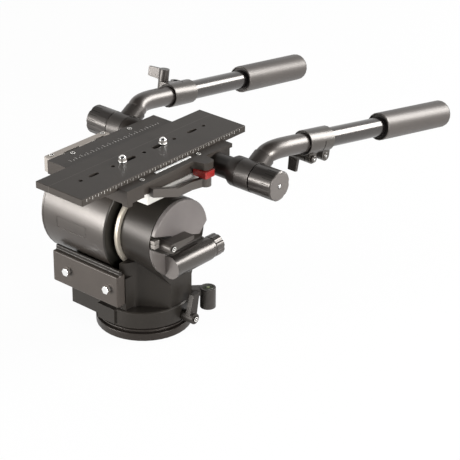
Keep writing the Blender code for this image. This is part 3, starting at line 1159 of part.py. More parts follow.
def build_yoke():
    low = (YOKE_LEFT_X, YOKE_REAR_Y, YOKE_BOTTOM)
    high = (YOKE_RIGHT_X, YOKE_FRONT_Y, PLATFORM_BOTTOM - GAP)
    yoke = make("handle_yoke", box(low, high), "dark_anodised")
    face_start = YOKE_FACE_X - YOKE_FACE_LENGTH
    cone_start = face_start - YOKE_CONE_LENGTH
    profile = [
        (0, -YOKE_FACE_X), (ROSETTE_RADIUS, -YOKE_FACE_X), (ROSETTE_RADIUS, -face_start),
        (YOKE_NECK_RADIUS, -cone_start), (YOKE_NECK_RADIUS, cone_start), (ROSETTE_RADIUS, face_start),
        (ROSETTE_RADIUS, YOKE_FACE_X), (0, YOKE_FACE_X)]
    unite(yoke, "necks", turned(profile, (0, ROSETTE_Y, ROSETTE_Z), X_AXIS, MIDDLE_STEPS), 'MANIFOLD')
    clear_low = (PLATFORM_LEFT_X - YOKE_SIDE_CLEARANCE, YOKE_REAR_Y - OVERRUN, PLATFORM_BOTTOM - GAP)
    clear_high = (PLATFORM_RIGHT_X + YOKE_SIDE_CLEARANCE, YOKE_FRONT_Y + OVERRUN, PLATFORM_TOP + OVERRUN)
    cut(yoke, "platform_clearance", box(clear_low, clear_high), 'MANIFOLD')
    for side, sign in (("left", -1), ("right", 1)):
        start = sign * (YOKE_FACE_X - STUD_IN_YOKE - GAP)
        end = sign * (YOKE_FACE_X + OVERRUN)
        hole = along_x(STUD_RADIUS + GAP, start, end, ROSETTE_Y, ROSETTE_Z, SMALL_STEPS)
        cut(yoke, "stud_hole_" + side, hole, 'MANIFOLD')


# Camera plate, camera screws and plate lock

def build_camera_plate():
    plate_bottom = PLATE_TOP - PLATE_THICKNESS
    low = (-PLATE_HALF_WIDTH, PLATE_REAR_Y, plate_bottom)
    high = (PLATE_HALF_WIDTH, PLATE_FRONT_Y, PLATE_TOP)
    centre_y = (PLATE_FRONT_Y + PLATE_REAR_Y) / 2
    plate = make("camera_plate", box(low, high), "dark_anodised", origin=(0, centre_y, plate_bottom))
    soften(plate, PLATE_EDGE)
    outline = tongue_outline(0, TONGUE_BOTTOM, plate_bottom + OVERRUN)
    tongue = prism(outline, 'Y', TONGUE_REAR_Y, TONGUE_FRONT_Y)
    unite(plate, "tongue", tongue)
    for number in range(PLATE_HOLE_COUNT):
        y = centre_y + (number - (PLATE_HOLE_COUNT - 1) / 2) * PLATE_HOLE_PITCH
        hole_bottom = (0, y, TONGUE_BOTTOM - OVERRUN)
        hole = rod(PLATE_HOLE_RADIUS, hole_bottom, (0, y, PLATE_TOP + OVERRUN), SMALL_STEPS)
        cut(plate, "hole_%d" % number, hole)
    slots = (
        ("short", SHORT_SLOT_NEAR, SHORT_SLOT_FAR, SHORT_SLOT_WIDTH),
        ("long", LONG_SLOT_NEAR, LONG_SLOT_FAR, LONG_SLOT_WIDTH))
    for name, near, far, width in slots:
        for side, sign in (("front", 1), ("rear", -1)):
            ends = sorted((centre_y + sign * near, centre_y + sign * far))
            outline = slot_outline(0, ends[0], ends[1], width)
            slot = prism(outline, 'Z', TONGUE_BOTTOM - OVERRUN, PLATE_TOP + OVERRUN)
            cut(plate, name + "_slot_" + side, slot, 'MANIFOLD')
            if name == "long":
                spread = (COUNTER_SLOT_WIDTH - width) / 2
                wide = slot_outline(0, ends[0] - spread, ends[1] + spread, COUNTER_SLOT_WIDTH)
                roof = plate_bottom + COUNTER_SLOT_DEPTH
                counter_slot = prism(wide, 'Z', TONGUE_BOTTOM - OVERRUN, roof)
                cut(plate, "counter_slot_" + side, counter_slot, 'MANIFOLD')


def build_camera_screws():
    centre_y = (PLATE_FRONT_Y + PLATE_REAR_Y) / 2
    roof = PLATE_TOP - PLATE_THICKNESS + COUNTER_SLOT_DEPTH
    slider_top = roof - GAP
    collar_low = PLATE_TOP + GAP
    collar_high = collar_low + SCREW_HEAD_HEIGHT
    dome_low = collar_high + SCREW_THREAD_HEIGHT - SCREW_DOME
    dome_top = collar_high + SCREW_THREAD_HEIGHT
    for side, offset in (("front", SCREW_FRONT_OFFSET), ("rear", SCREW_REAR_OFFSET)):
        y = centre_y + offset
        profile = [
            (0, slider_top - SLIDER_THICKNESS), (SLIDER_RADIUS, slider_top - SLIDER_THICKNESS),
            (SLIDER_RADIUS, slider_top), (SCREW_NECK_RADIUS, slider_top), (SCREW_NECK_RADIUS, collar_low),
            (SCREW_HEAD_RADIUS, collar_low), (SCREW_HEAD_RADIUS, collar_high),
            (SCREW_THREAD_RADIUS, collar_high), (SCREW_THREAD_RADIUS, dome_low),
            (SCREW_THREAD_RADIUS - SCREW_DOME, dome_top), (0, dome_top)]
        screw = turned(profile, (0, y, 0), Z_AXIS, MIDDLE_STEPS)
        make("camera_screw_" + side, screw, "bright_steel", origin=(0, y, PLATE_TOP))


def build_plate_lock():
    pivot = (LOCK_PIVOT_X, LOCK_PIVOT_Y, LOCK_HUB_LOW)
    hub_high = CATCH_LOW - GAP
    hub = rod(LOCK_HUB_RADIUS, pivot, (LOCK_PIVOT_X, LOCK_PIVOT_Y, hub_high), MIDDLE_STEPS)
    lever = make("plate_lock_lever", hub, "plain_steel", origin=pivot)
    stations = [
        (LOCK_PIVOT_X, LOCK_PIVOT_Y, LOCK_HUB_LOW), (LOCK_ELBOW_X, LOCK_ELBOW_Y, LOCK_ELBOW_LOW),
        (LOCK_KNEE_X, LOCK_KNEE_Y, LOCK_KNEE_LOW), (LOCK_TIP_X, LOCK_TIP_Y, LOCK_TIP_LOW)]
    unite(lever, "bar", flat_bar(stations, LOCK_BAR_THICKNESS, LOCK_BAR_HEIGHT, hub_high))
    pin_top = PLATFORM_TOP - LOCK_PIN_COVER
    pin_low = (LOCK_PIVOT_X, LOCK_PIVOT_Y, hub_high - OVERRUN)
    unite(lever, "pin", rod(LOCK_PIN_RADIUS, pin_low, (LOCK_PIVOT_X, LOCK_PIVOT_Y, pin_top), SMALL_STEPS))
    catch_outline = [
        (CATCH_INNER_X, CATCH_FRONT_Y), (CATCH_OUTER_X + CATCH_EDGE, CATCH_FRONT_Y),
        (CATCH_OUTER_X, CATCH_FRONT_Y - CATCH_EDGE), (CATCH_OUTER_X, CATCH_REAR_Y + CATCH_EDGE),
        (CATCH_OUTER_X + CATCH_EDGE, CATCH_REAR_Y), (CATCH_INNER_X, CATCH_REAR_Y)]
    catch = make("release_catch", prism(catch_outline, 'Z', CATCH_LOW, CATCH_HIGH), "signal_red")
    half = LOCK_PIN_RADIUS + GAP
    slot = [
        (LOCK_PIVOT_X - CATCH_TRAVEL - half, LOCK_PIVOT_Y - half),
        (LOCK_PIVOT_X + half, LOCK_PIVOT_Y - half),
        (LOCK_PIVOT_X + half, LOCK_PIVOT_Y + half),
        (LOCK_PIVOT_X - CATCH_TRAVEL - half, LOCK_PIVOT_Y + half)]
    cut(catch, "pin_slot", prism(slot, 'Z', CATCH_LOW - OVERRUN, CATCH_HIGH + OVERRUN))


def flat_bar(stations, thickness, height, roof):
    """An upright flat bar through plan points that carry their own lower edge."""
    shape = bmesh.new()
    rings = []
    for index, station in enumerate(stations):
        before = Vector(stations[max(index - 1, 0)])
        after = Vector(stations[min(index + 1, len(stations) - 1)])
        heading = after - before
        side = Vector((-heading.y, heading.x, 0)).normalized() * (thickness / 2)
        low = Vector(station)
        high = low + Vector((0, 0, height))
        if index < 2:
            high.z = min(high.z, roof)
        corners = (low - side, low + side, high + side, high - side)
        rings.append([shape.verts.new(point) for point in corners])
    close_rings(shape, rings, len(rings[0]))
    return shape


# Handles

def handle_frame(sign):
    """Mouth of the collar, direction of the handle, and its two cross directions."""
    mouth = Vector((sign * MOUTH_X, MOUTH_Y, MOUTH_Z))
    level_run = math.cos(HANDLE_PITCH)
    along = Vector((
        sign * math.sin(HANDLE_SPLAY) * level_run, -math.cos(HANDLE_SPLAY) * level_run,
        -math.sin(HANDLE_PITCH)))
    across = (X_AXIS - along * X_AXIS.dot(along)).normalized()
    upward = across.cross(along).normalized()
    if upward.z < 0:
        upward = -upward
    return mouth, along, across, upward


def build_handle(side, sign):
    mouth, along, across, upward = handle_frame(sign)
    lug_way, bolt_way = (across, upward) if side == "right" else (-upward, across)
    pivot = Vector((sign * ELBOW_CENTRE_X, ROSETTE_Y, ROSETTE_Z))
    tip = Vector((sign * ELBOW_CENTRE_X, ELBOW_END_Y, ELBOW_END_Z))
    arm_way = (tip - pivot).normalized()
    half = ELBOW_WIDTH / 2 - GAP
    rough_half = half + OVERRUN
    hub = rod(ROSETTE_RADIUS, pivot - X_AXIS * rough_half, pivot + X_AXIS * rough_half, MIDDLE_STEPS)
    elbow = make(side + "_handle_elbow", hub, "satin_casting", origin=pivot)
    unite(elbow, "arm", rod(ELBOW_ARM_RADIUS, pivot + arm_way * OVERRUN, tip, MIDDLE_STEPS), 'MANIFOLD')
    for name, way in (("inner_face", -1), ("outer_face", 1)):
        near = pivot + X_AXIS * way * half
        far = pivot + X_AXIS * way * (half + ELBOW_FACE_CUT)
        cut(elbow, name, rod(ROSETTE_RADIUS + ELBOW_FACE_CLEARANCE, near, far, MIDDLE_STEPS), 'MANIFOLD')
    bore = rod(STUD_RADIUS + GAP, pivot - X_AXIS * ELBOW_WIDTH, pivot + X_AXIS * ELBOW_WIDTH, SMALL_STEPS)
    cut(elbow, "stud_bore", bore, 'MANIFOLD')
    socket = tip - arm_way * ELBOW_SOCKET_DEPTH
    tube_socket = rod(BENT_TUBE_RADIUS + GAP, socket, tip + arm_way * OVERRUN, MIDDLE_STEPS)
    cut(elbow, "tube_socket", tube_socket, 'MANIFOLD')
    corner = mouth - along * BEND_CORNER_BACK
    lead = tip + arm_way * TUBE_LEAD
    first_way = (corner - lead).normalized()
    path = [socket + arm_way * GAP, lead]
    for step in range(BEND_STEPS + 1):
        share = step / BEND_STEPS
        near = corner - first_way * BEND_RUN_IN * (1 - share) ** 2
        path.append(near + along * BEND_RUN * share ** 2)
    end = mouth + along * TUBE_IN_COLLAR
    path.append(mouth)
    path.append(end)
    tube = make(side + "_bent_tube", swept(path, BENT_TUBE_RADIUS, SWEEP_SIDES), "gloss_black")
    bore_start = mouth - along * TUBE_BORE_BACK
    cut(tube, "bore", rod(TUBE_BORE_RADIUS, bore_start, end + along * OVERRUN, SWEEP_SIDES))
    build_collar(side, mouth, along, bolt_way, lug_way)
    extension = RIGHT_GRIP_EXTENSION if side == "right" else 0
    build_grip(side, mouth + along * extension, along)
    build_rosette_knob(side, sign)


def build_collar(side, mouth, along, bolt_way, lug_way):
    """A split sleeve with two lugs whose bolts run along bolt_way."""
    outer = COLLAR_SLEEVE_RADIUS
    length = COLLAR_SLEEVE_LENGTH
    profile = [
        (0, 0), (outer - COLLAR_EDGE, 0), (outer, COLLAR_EDGE), (outer, length - COLLAR_EDGE),
        (outer - COLLAR_EDGE, length), (0, length)]
    collar = make(side + "_clamp_collar", turned(profile, mouth, along, MIDDLE_STEPS), "satin_casting")
    lugs = (
        ("lever_lug", LUG_LEVER_ALONG, LUG_LEVER_SIDE), ("fixed_lug", LUG_FIXED_ALONG, LUG_FIXED_SIDE))
    for name, offset, far_side in lugs:
        centre = mouth + along * offset
        shape = lug_prism(far_side)
        shape.transform(lug_matrix(centre, along, lug_way, bolt_way))
        unite(collar, name, shape, 'MANIFOLD')
        bolt_place = centre + lug_way * LUG_OFFSET
        hole_start = bolt_place - bolt_way * (LUG_NEAR_SIDE + OVERRUN)
        hole_end = bolt_place + bolt_way * (LUG_LEVER_SIDE + OVERRUN)
        hole = rod(CLAMP_BOLT_RADIUS + GAP, hole_start, hole_end, SMALL_STEPS)
        cut(collar, name + "_hole", hole, 'MANIFOLD')
    bore = BENT_TUBE_RADIUS + GAP
    reach = max(length, LUG_FIXED_ALONG + LUG_RADIUS) + OVERRUN
    bore_profile = [
        (0, -OVERRUN), (COLLAR_MOUTH_RADIUS, -OVERRUN), (COLLAR_MOUTH_RADIUS, COLLAR_MOUTH_DEPTH),
        (bore, COLLAR_MOUTH_DEPTH), (bore, reach), (0, reach)]
    cut(collar, "bore", turned(bore_profile, mouth, along, MIDDLE_STEPS), 'MANIFOLD')
    slit = box(
        (-OVERRUN, COLLAR_SLIT_START, -LUG_SLIT / 2),
        (reach, LUG_OFFSET + LUG_RADIUS + OVERRUN, LUG_SLIT / 2))
    slit.transform(lug_matrix(mouth, along, lug_way, bolt_way))
    cut(collar, "slit", slit, 'MANIFOLD')
    wide = outer + OVERRUN
    cross_slit = box(
        (CROSS_SLIT_ALONG, -CROSS_SLIT_BACK, -wide), (CROSS_SLIT_ALONG + LUG_SLIT, wide, wide))
    cross_slit.transform(lug_matrix(mouth, along, lug_way, bolt_way))
    cut(collar, "cross_slit", cross_slit, 'MANIFOLD')
    bolt_centre = mouth + along * LUG_LEVER_ALONG + lug_way * LUG_OFFSET
    build_clamp_lever(side, bolt_centre, along, lug_way, bolt_way)


def lug_matrix(centre, along, lug_way, bolt_way):
    """Local X along the handle, local Y towards the lugs, local Z along their bolts."""
    turn = Matrix((along, lug_way, bolt_way)).transposed().to_4x4()
    return Matrix.Translation(Vector(centre)) @ turn


def lug_prism(far_side):
    outline = [(-LUG_RADIUS, LUG_ROOT), (LUG_RADIUS, LUG_ROOT)]
    outline += arc((0, LUG_OFFSET), LUG_RADIUS, 0, 180, LUG_ARC_STEPS)
    return prism(outline, 'Z', -LUG_NEAR_SIDE, far_side)


def build_clamp_lever(side, centre, along, lug_way, bolt_way):
    inner = LUG_LEVER_SIDE + GAP
    head_seat = LUG_NEAR_SIDE + GAP
    hub_end = centre + bolt_way * (inner + CLAMP_LEVER_HUB_LENGTH)
    hub = rod(CLAMP_LEVER_HUB_RADIUS, centre + bolt_way * inner, hub_end, MIDDLE_STEPS)
    lever = make(side + "_clamp_lever", hub, "moulded_black", origin=centre)
    low = inner + CLAMP_WING_START
    high = low + CLAMP_WING_WIDTH
    outline = [
        (0, low), (CLAMP_WING_REACH, low + CLAMP_WING_TAPER), (CLAMP_WING_REACH, high - CLAMP_WING_TAPER),
        (0, high)]
    wing = prism(outline, 'X', -CLAMP_WING_THICKNESS / 2, CLAMP_WING_THICKNESS / 2)
    turn = RIGHT_WING_TURN if side == "right" else 0
    wing.transform(lug_matrix(centre, along, lug_way, bolt_way) @ Matrix.Rotation(turn, 4, 'Z'))
    unite(lever, "wing", wing)
    bolt = headed(
        CLAMP_BOLT_RADIUS, CLAMP_BOLT_HEAD_RADIUS, centre, -bolt_way, -inner - OVERRUN, head_seat,
        head_seat + CLAMP_BOLT_HEAD_HEIGHT, SMALL_STEPS)
    unite(lever, "bolt", bolt)


def build_grip(side, mouth, along):
    grip_end = GRIP_MOUTH + GRIP_LENGTH
    bore_end = grip_end - GRIP_END_WALL
    tube_profile = [
        (SLIDE_TUBE_RADIUS, SLIDE_TUBE_START), (SLIDE_TUBE_RADIUS, bore_end - GAP),
        (SLIDE_TUBE_RADIUS - SLIDE_TUBE_WALL, bore_end - GAP),
        (SLIDE_TUBE_RADIUS - SLIDE_TUBE_WALL, SLIDE_TUBE_START)]
    tube = turned(tube_profile, mouth, along, SWEEP_SIDES, ring=True)
    make(side + "_sliding_tube", tube, "gloss_black", origin=mouth)
    mouth_floor = GRIP_MOUTH + GRIP_MOUTH_DEPTH
    round_start = grip_end - GRIP_END_ROUND
    bore = SLIDE_TUBE_RADIUS + GAP
    profile = [
        (0, bore_end), (bore, bore_end), (bore, mouth_floor),
        (GRIP_MOUTH_RADIUS, mouth_floor), (GRIP_MOUTH_RADIUS, GRIP_MOUTH),
        (GRIP_RADIUS - GRIP_EDGE, GRIP_MOUTH), (GRIP_RADIUS, GRIP_MOUTH + GRIP_EDGE),
        (GRIP_RADIUS, round_start)]
    for step in range(1, GRIP_ROUND_STEPS + 1):
        angle = math.pi / 2 * step / GRIP_ROUND_STEPS
        radius = GRIP_RADIUS - GRIP_END_ROUND * (1 - math.cos(angle))
        profile.append((radius, round_start + GRIP_END_ROUND * math.sin(angle)))
    profile.append((0, grip_end))
    make(side + "_grip", turned(profile, mouth, along, MIDDLE_STEPS), "moulded_rubber", origin=mouth)


def build_rosette_knob(side, sign):
    inner_x = sign * (ELBOW_CENTRE_X + ELBOW_WIDTH / 2)
    outline = fluted_outline(KNOB_RADIUS, KNOB_FLUTE_DEPTH, KNOB_FLUTES)
    outline = [(ROSETTE_Y + pair[0], ROSETTE_Z + pair[1]) for pair in outline]
    shape = prism(outline, 'X', inner_x, sign * KNOB_OUTER_X)
    knob = make(side + "_rosette_knob", shape, "satin_casting", origin=(inner_x, ROSETTE_Y, ROSETTE_Z))
    soften(knob, KNOB_EDGE)
    stud_start = sign * (YOKE_FACE_X - STUD_IN_YOKE)
    stud_end = inner_x + sign * OVERRUN
    unite(knob, "stud", along_x(STUD_RADIUS, stud_start, stud_end, ROSETTE_Y, ROSETTE_Z, SMALL_STEPS))


clear_scene()
build_mounting_base()
build_pan_spindle()
build_pan_bearings()
build_pan_housing()
build_accessory_block()
build_side_cover()
build_clamp_boss()
build_collar_ring()
build_axle()
build_tilting_drum()
build_balance_spring()
build_drag_cylinder()
build_tilt_lever()
build_pan_lever()
build_level()
build_saddle()
build_slide_base()
build_clamp_rail()
build_yoke()
build_camera_plate()
build_camera_screws()
build_plate_lock()
build_handle("left", -1)
build_handle("right", 1)
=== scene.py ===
# %% [markdown]
# This lesson dresses a fluid head: the heavy swivel that carries a video camera on a tripod.
# The solids come from the CAD model, and every piece made here sits around them, in metres.
# The first cell loads them and gives a helper that measures the box of one solid.

# %% Load the solids, with a helper for a solid's box
import math

import bmesh
import bpy
from mathutils import Matrix, Vector


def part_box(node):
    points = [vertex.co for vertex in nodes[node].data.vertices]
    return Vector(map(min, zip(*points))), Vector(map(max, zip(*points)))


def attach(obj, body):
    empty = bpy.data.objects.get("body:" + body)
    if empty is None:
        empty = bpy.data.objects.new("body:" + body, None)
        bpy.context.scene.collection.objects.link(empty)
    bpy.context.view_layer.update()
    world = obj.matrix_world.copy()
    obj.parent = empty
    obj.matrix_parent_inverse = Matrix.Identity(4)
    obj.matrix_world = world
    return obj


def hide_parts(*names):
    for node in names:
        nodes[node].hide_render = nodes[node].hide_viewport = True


MM = 0.001
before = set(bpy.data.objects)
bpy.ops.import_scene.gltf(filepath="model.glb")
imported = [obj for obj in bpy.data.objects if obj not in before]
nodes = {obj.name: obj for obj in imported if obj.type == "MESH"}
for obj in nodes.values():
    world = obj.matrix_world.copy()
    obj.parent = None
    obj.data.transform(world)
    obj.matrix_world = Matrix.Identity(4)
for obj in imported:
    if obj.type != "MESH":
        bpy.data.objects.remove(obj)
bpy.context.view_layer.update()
print("nodes loaded:", len(nodes))

# %% [markdown]
# The camera stands in front of the head on the operator's left, a little above it.
# Its place was fitted to edges of known length, so it is given as an angle, a distance and a target.

# %% Camera
CAMERA_AZIMUTH = math.radians(-139.358)
CAMERA_ELEVATION = math.radians(26.85)
CAMERA_ROLL = math.radians(0.485)
CAMERA_DISTANCE = 2172.604 * MM
CAMERA_TARGET = Vector((-147.439, 0, 178.658)) * MM
FOCAL_PIXELS = 1772.278
IMAGE_PIXELS = 460
SENSOR = 36.0


def camera_matrix():
    flat = math.cos(CAMERA_ELEVATION)
    back = Vector((
        math.sin(CAMERA_AZIMUTH) * flat, -math.cos(CAMERA_AZIMUTH) * flat, math.sin(CAMERA_ELEVATION)))
    right = (-back).cross(Vector((0, 0, 1))).normalized()
    up = right.cross(-back)
    rolled_right = math.cos(CAMERA_ROLL) * right + math.sin(CAMERA_ROLL) * up
    rolled_up = -math.sin(CAMERA_ROLL) * right + math.cos(CAMERA_ROLL) * up
    turn = Matrix((rolled_right, rolled_up, back)).transposed().to_4x4()
    return Matrix.Translation(CAMERA_TARGET + back * CAMERA_DISTANCE) @ turn


camera_data = bpy.data.cameras.new("camera")
camera_data.sensor_width = SENSOR
camera_data.lens = FOCAL_PIXELS / IMAGE_PIXELS * SENSOR
camera_data.clip_start = 0.05
camera_data.clip_end = 50.0
camera = bpy.data.objects.new("camera", camera_data)
bpy.context.scene.collection.objects.link(camera)
camera.matrix_world = camera_matrix()
bpy.context.scene.camera = camera
bpy.context.scene.view_settings.view_transform = "Standard"
print("lens in millimetres:", round(camera_data.lens, 1))

# %% [markdown]
# A product studio has a white sweep and large soft lamps at the sides, with little light from above.
# The white is shown only to the camera and to reflections, so it doesn't add light to the object.
# The ceiling is dark, so the tops of the tubes and drums stay dark too.

# %% Studio: world, floor and soft lamps
WORLD_FILL = 0.10
CEILING_START = 0.62
CEILING_END = 0.80
CEILING_LIGHT = 0.05
FLOOR_SIZE = 12
FLOOR_GREY = (0.82, 0.82, 0.82, 1)
FLOOR_GLOW = 0.96
STUDIO_MIDDLE = (0, -0.05, 0.15)
LAMPS = (
    ("front_lamp", (1.0, 2.0, 0.40), (1.2, 0.7), 86),
    ("left_lamp", (-2.25, 0.10, 0.70), (0.9, 0.7), 62),
    ("rear_lamp", (-1.15, -2.05, 1.15), (1.5, 1.1), 72),
)


def white_to_view(tree):
    """A value of 1 for camera, glossy and transmission rays, and 0 for the rest."""
    path = tree.nodes.new("ShaderNodeLightPath")
    total = tree.nodes.new("ShaderNodeMath")
    total.operation = "ADD"
    tree.links.new(path.outputs["Is Camera Ray"], total.inputs[0])
    tree.links.new(path.outputs["Is Glossy Ray"], total.inputs[1])
    seen = tree.nodes.new("ShaderNodeMath")
    seen.operation = "ADD"
    seen.use_clamp = True
    tree.links.new(total.outputs[0], seen.inputs[0])
    tree.links.new(path.outputs["Is Transmission Ray"], seen.inputs[1])
    return seen.outputs[0]


def build_world():
    world = bpy.data.worlds.new("studio")
    bpy.context.scene.world = world
    world.use_nodes = True
    tree = world.node_tree
    background = tree.nodes["Background"]
    background.inputs["Color"].default_value = (1, 1, 1, 1)
    strength = tree.nodes.new("ShaderNodeMapRange")
    strength.inputs["To Min"].default_value = WORLD_FILL
    strength.inputs["To Max"].default_value = 1.0
    tree.links.new(white_to_view(tree), strength.inputs["Value"])
    place = tree.nodes.new("ShaderNodeTexCoord")
    parts = tree.nodes.new("ShaderNodeSeparateXYZ")
    tree.links.new(place.outputs["Generated"], parts.inputs[0])
    ceiling = tree.nodes.new("ShaderNodeMapRange")
    ceiling.inputs["From Min"].default_value = CEILING_START
    ceiling.inputs["From Max"].default_value = CEILING_END
    ceiling.inputs["To Min"].default_value = 1.0
    ceiling.inputs["To Max"].default_value = CEILING_LIGHT
    tree.links.new(parts.outputs["Z"], ceiling.inputs["Value"])
    both = tree.nodes.new("ShaderNodeMath")
    both.operation = "MULTIPLY"
    tree.links.new(strength.outputs[0], both.inputs[0])
    tree.links.new(ceiling.outputs[0], both.inputs[1])
    tree.links.new(both.outputs[0], background.inputs["Strength"])


def build_floor():
    shape = bmesh.new()
    bmesh.ops.create_grid(shape, x_segments=2, y_segments=2, size=FLOOR_SIZE)
    mesh = bpy.data.meshes.new("floor")
    shape.to_mesh(mesh)
    shape.free()
    floor = bpy.data.objects.new("floor", mesh)
    bpy.context.scene.collection.objects.link(floor)
    material = bpy.data.materials.new("pale_floor")
    material.use_nodes = True
    tree = material.node_tree
    shader = tree.nodes["Principled BSDF"]
    shader.inputs["Base Color"].default_value = FLOOR_GREY
    shader.inputs["Roughness"].default_value = 0.9
    glow = tree.nodes.new("ShaderNodeEmission")
    glow.inputs["Color"].default_value = (1, 1, 1, 1)
    mix = tree.nodes.new("ShaderNodeMixShader")
    share = tree.nodes.new("ShaderNodeMath")
    share.operation = "MULTIPLY"
    share.inputs[1].default_value = FLOOR_GLOW
    tree.links.new(white_to_view(tree), share.inputs[0])
    tree.links.new(share.outputs[0], mix.inputs["Fac"])
    tree.links.new(shader.outputs[0], mix.inputs[1])
    tree.links.new(glow.outputs[0], mix.inputs[2])
    tree.links.new(mix.outputs[0], tree.nodes["Material Output"].inputs["Surface"])
    mesh.materials.append(material)


def soft_lamp(name, place, target, size, power):
    data = bpy.data.lights.new(name, "AREA")
    data.shape = "RECTANGLE"
    data.size, data.size_y = size
    data.energy = power
    lamp = bpy.data.objects.new(name, data)
    bpy.context.scene.collection.objects.link(lamp)
    lamp.location = place
    lamp.rotation_mode = "QUATERNION"
    lamp.rotation_quaternion = (Vector(target) - Vector(place)).to_track_quat("-Z", "Y")


build_world()
build_floor()
for name, place, size, power in LAMPS:
    soft_lamp(name, place, STUDIO_MIDDLE, size, power)
print("studio lamps:", len(LAMPS))

# %% [markdown]
# Satin anodised metal is not one flat colour: fine grain breaks up its gloss, and handling clouds it.
# One helper makes such a finish from two noises, read in object coordinates so that it stays put.
# The metal could be one plain shader for each tone, but the grain is what tells anodising from paint.

# %% Tools for finishes
WARM_GLOSS = (1.0, 0.93, 0.87)
CLOUD_SCALE = 28


def start_material(name, colour, roughness, metallic=0.0, specular=0.5):
    material = bpy.data.materials.new(name)
    material.use_nodes = True
    shader = material.node_tree.nodes["Principled BSDF"]
    shader.inputs["Base Color"].default_value = (*colour, 1)
    shader.inputs["Roughness"].default_value = roughness
    shader.inputs["Metallic"].default_value = metallic
    shader.inputs["Specular IOR Level"].default_value = specular
    shader.inputs["Specular Tint"].default_value = (*WARM_GLOSS, 1)
    return material, material.node_tree, shader


def object_noise(tree, scale, detail, stretch=(1, 1, 1)):
    """A noise in object coordinates; stretch above 1 packs it along that axis."""
    place = tree.nodes.new("ShaderNodeTexCoord")
    mapping = tree.nodes.new("ShaderNodeMapping")
    mapping.inputs["Scale"].default_value = stretch
    noise = tree.nodes.new("ShaderNodeTexNoise")
    noise.inputs["Scale"].default_value = scale
    noise.inputs["Detail"].default_value = detail
    tree.links.new(place.outputs["Object"], mapping.inputs["Vector"])
    tree.links.new(mapping.outputs["Vector"], noise.inputs["Vector"])
    return noise.outputs["Fac"]


def spread_value(tree, value, low, high):
    limits = tree.nodes.new("ShaderNodeMapRange")
    limits.inputs["From Min"].default_value = 0.3
    limits.inputs["From Max"].default_value = 0.7
    limits.inputs["To Min"].default_value = low
    limits.inputs["To Max"].default_value = high
    tree.links.new(value, limits.inputs["Value"])
    return limits.outputs["Result"]


def tint(tree, shader, value, colour, change):
    """Base colour between a darker and a lighter shade of one colour."""
    mix = tree.nodes.new("ShaderNodeMix")
    mix.data_type = "RGBA"
    mix.inputs["A"].default_value = (*[c * (1 - change) for c in colour], 1)
    mix.inputs["B"].default_value = (*[min(1, c * (1 + change)) for c in colour], 1)
    tree.links.new(spread_value(tree, value, 0, 1), mix.inputs["Factor"])
    tree.links.new(mix.outputs["Result"], shader.inputs["Base Color"])


def roughen(tree, shader, value, strength, depth):
    bump = tree.nodes.new("ShaderNodeBump")
    bump.inputs["Strength"].default_value = strength
    bump.inputs["Distance"].default_value = depth
    tree.links.new(value, bump.inputs["Height"])
    tree.links.new(bump.outputs["Normal"], shader.inputs["Normal"])


def satin_metal(name, colour, roughness, metallic=0.3, specular=0.5, grain=2600, stretch=(1, 1, 1),
                change=0.10, depth=0.00004, strength=0.25, gloss_spread=0.05):
    material, tree, shader = start_material(name, colour, roughness, metallic, specular)
    fine = object_noise(tree, grain, 3, stretch)
    cloud = object_noise(tree, CLOUD_SCALE, 4)
    tint(tree, shader, cloud, colour, change)
    gloss = spread_value(tree, fine, roughness - gloss_spread, roughness + gloss_spread)
    tree.links.new(gloss, shader.inputs["Roughness"])
    roughen(tree, shader, fine, strength, depth)
    return material


def paint_between(material, axis, low, high, colour):
    """Between two distances along an axis the surface takes another colour, for bare metal and for
    painted shade and light.
    """
    tree = material.node_tree
    shader = tree.nodes["Principled BSDF"]
    place = tree.nodes.new("ShaderNodeTexCoord")
    parts = tree.nodes.new("ShaderNodeSeparateXYZ")
    tree.links.new(place.outputs["Object"], parts.inputs[0])
    inside = tree.nodes.new("ShaderNodeMath")
    inside.operation = "COMPARE"
    inside.inputs[1].default_value = (low + high) / 2
    inside.inputs[2].default_value = (high - low) / 2
    tree.links.new(parts.outputs[axis], inside.inputs[0])
    mix = tree.nodes.new("ShaderNodeMix")
    mix.data_type = "RGBA"
    mix.inputs["B"].default_value = (*colour, 1)
    tree.links.new(shader.inputs["Base Color"].links[0].from_socket, mix.inputs["A"])
    tree.links.new(inside.outputs[0], mix.inputs["Factor"])
    tree.links.new(mix.outputs["Result"], shader.inputs["Base Color"])


print("finish tools ready")

# %% [markdown]
# The head is black and warm dark grey, with bare alloy on the saddle and rail, and bright steel screws.
# Castings are matt, turned parts have rings of grain round their axis, and tubes are drawn and glossy.

# %% Finishes
ALONG_X = (0.004, 1, 1)
ALONG_Y = (1, 0.004, 1)
ROUND_X = (1, 0.004, 0.004)
MACHINED = {"change": 0.08, "depth": 0.00001, "strength": 0.06, "gloss_spread": 0.03}
DRAWN = {"change": 0.05, "depth": 0.00001, "strength": 0.06, "gloss_spread": 0.03}
POLISHED = {"change": 0.05, "depth": 0.00001, "strength": 0.05, "gloss_spread": 0.02}
GLASSY = {"grain": 900, "depth": 0.00001, "strength": 0.05, "gloss_spread": 0.02}
TURNED = {"grain": 2200, "stretch": ROUND_X, "change": 0.08, "depth": 0.00003, "strength": 0.3}
plate_black = satin_metal("plate_black", (0.030, 0.025, 0.021), 0.46, 0.0, 0.30)
base_black = satin_metal("base_black", (0.016, 0.013, 0.011), 0.38, 0.0, 0.28)
housing_grey = satin_metal("housing_grey", (0.014, 0.012, 0.010), 0.38, 0.0, 0.30)
drum_grey = satin_metal("drum_grey", (0.022, 0.018, 0.015), 0.36, 0.0, 0.7, **TURNED)
block_grey = satin_metal("block_grey", (0.040, 0.033, 0.028), 0.40, 0.0, 0.40)
cover_grey = satin_metal("cover_grey", (0.110, 0.098, 0.094), 0.42, 0.0, 0.6)
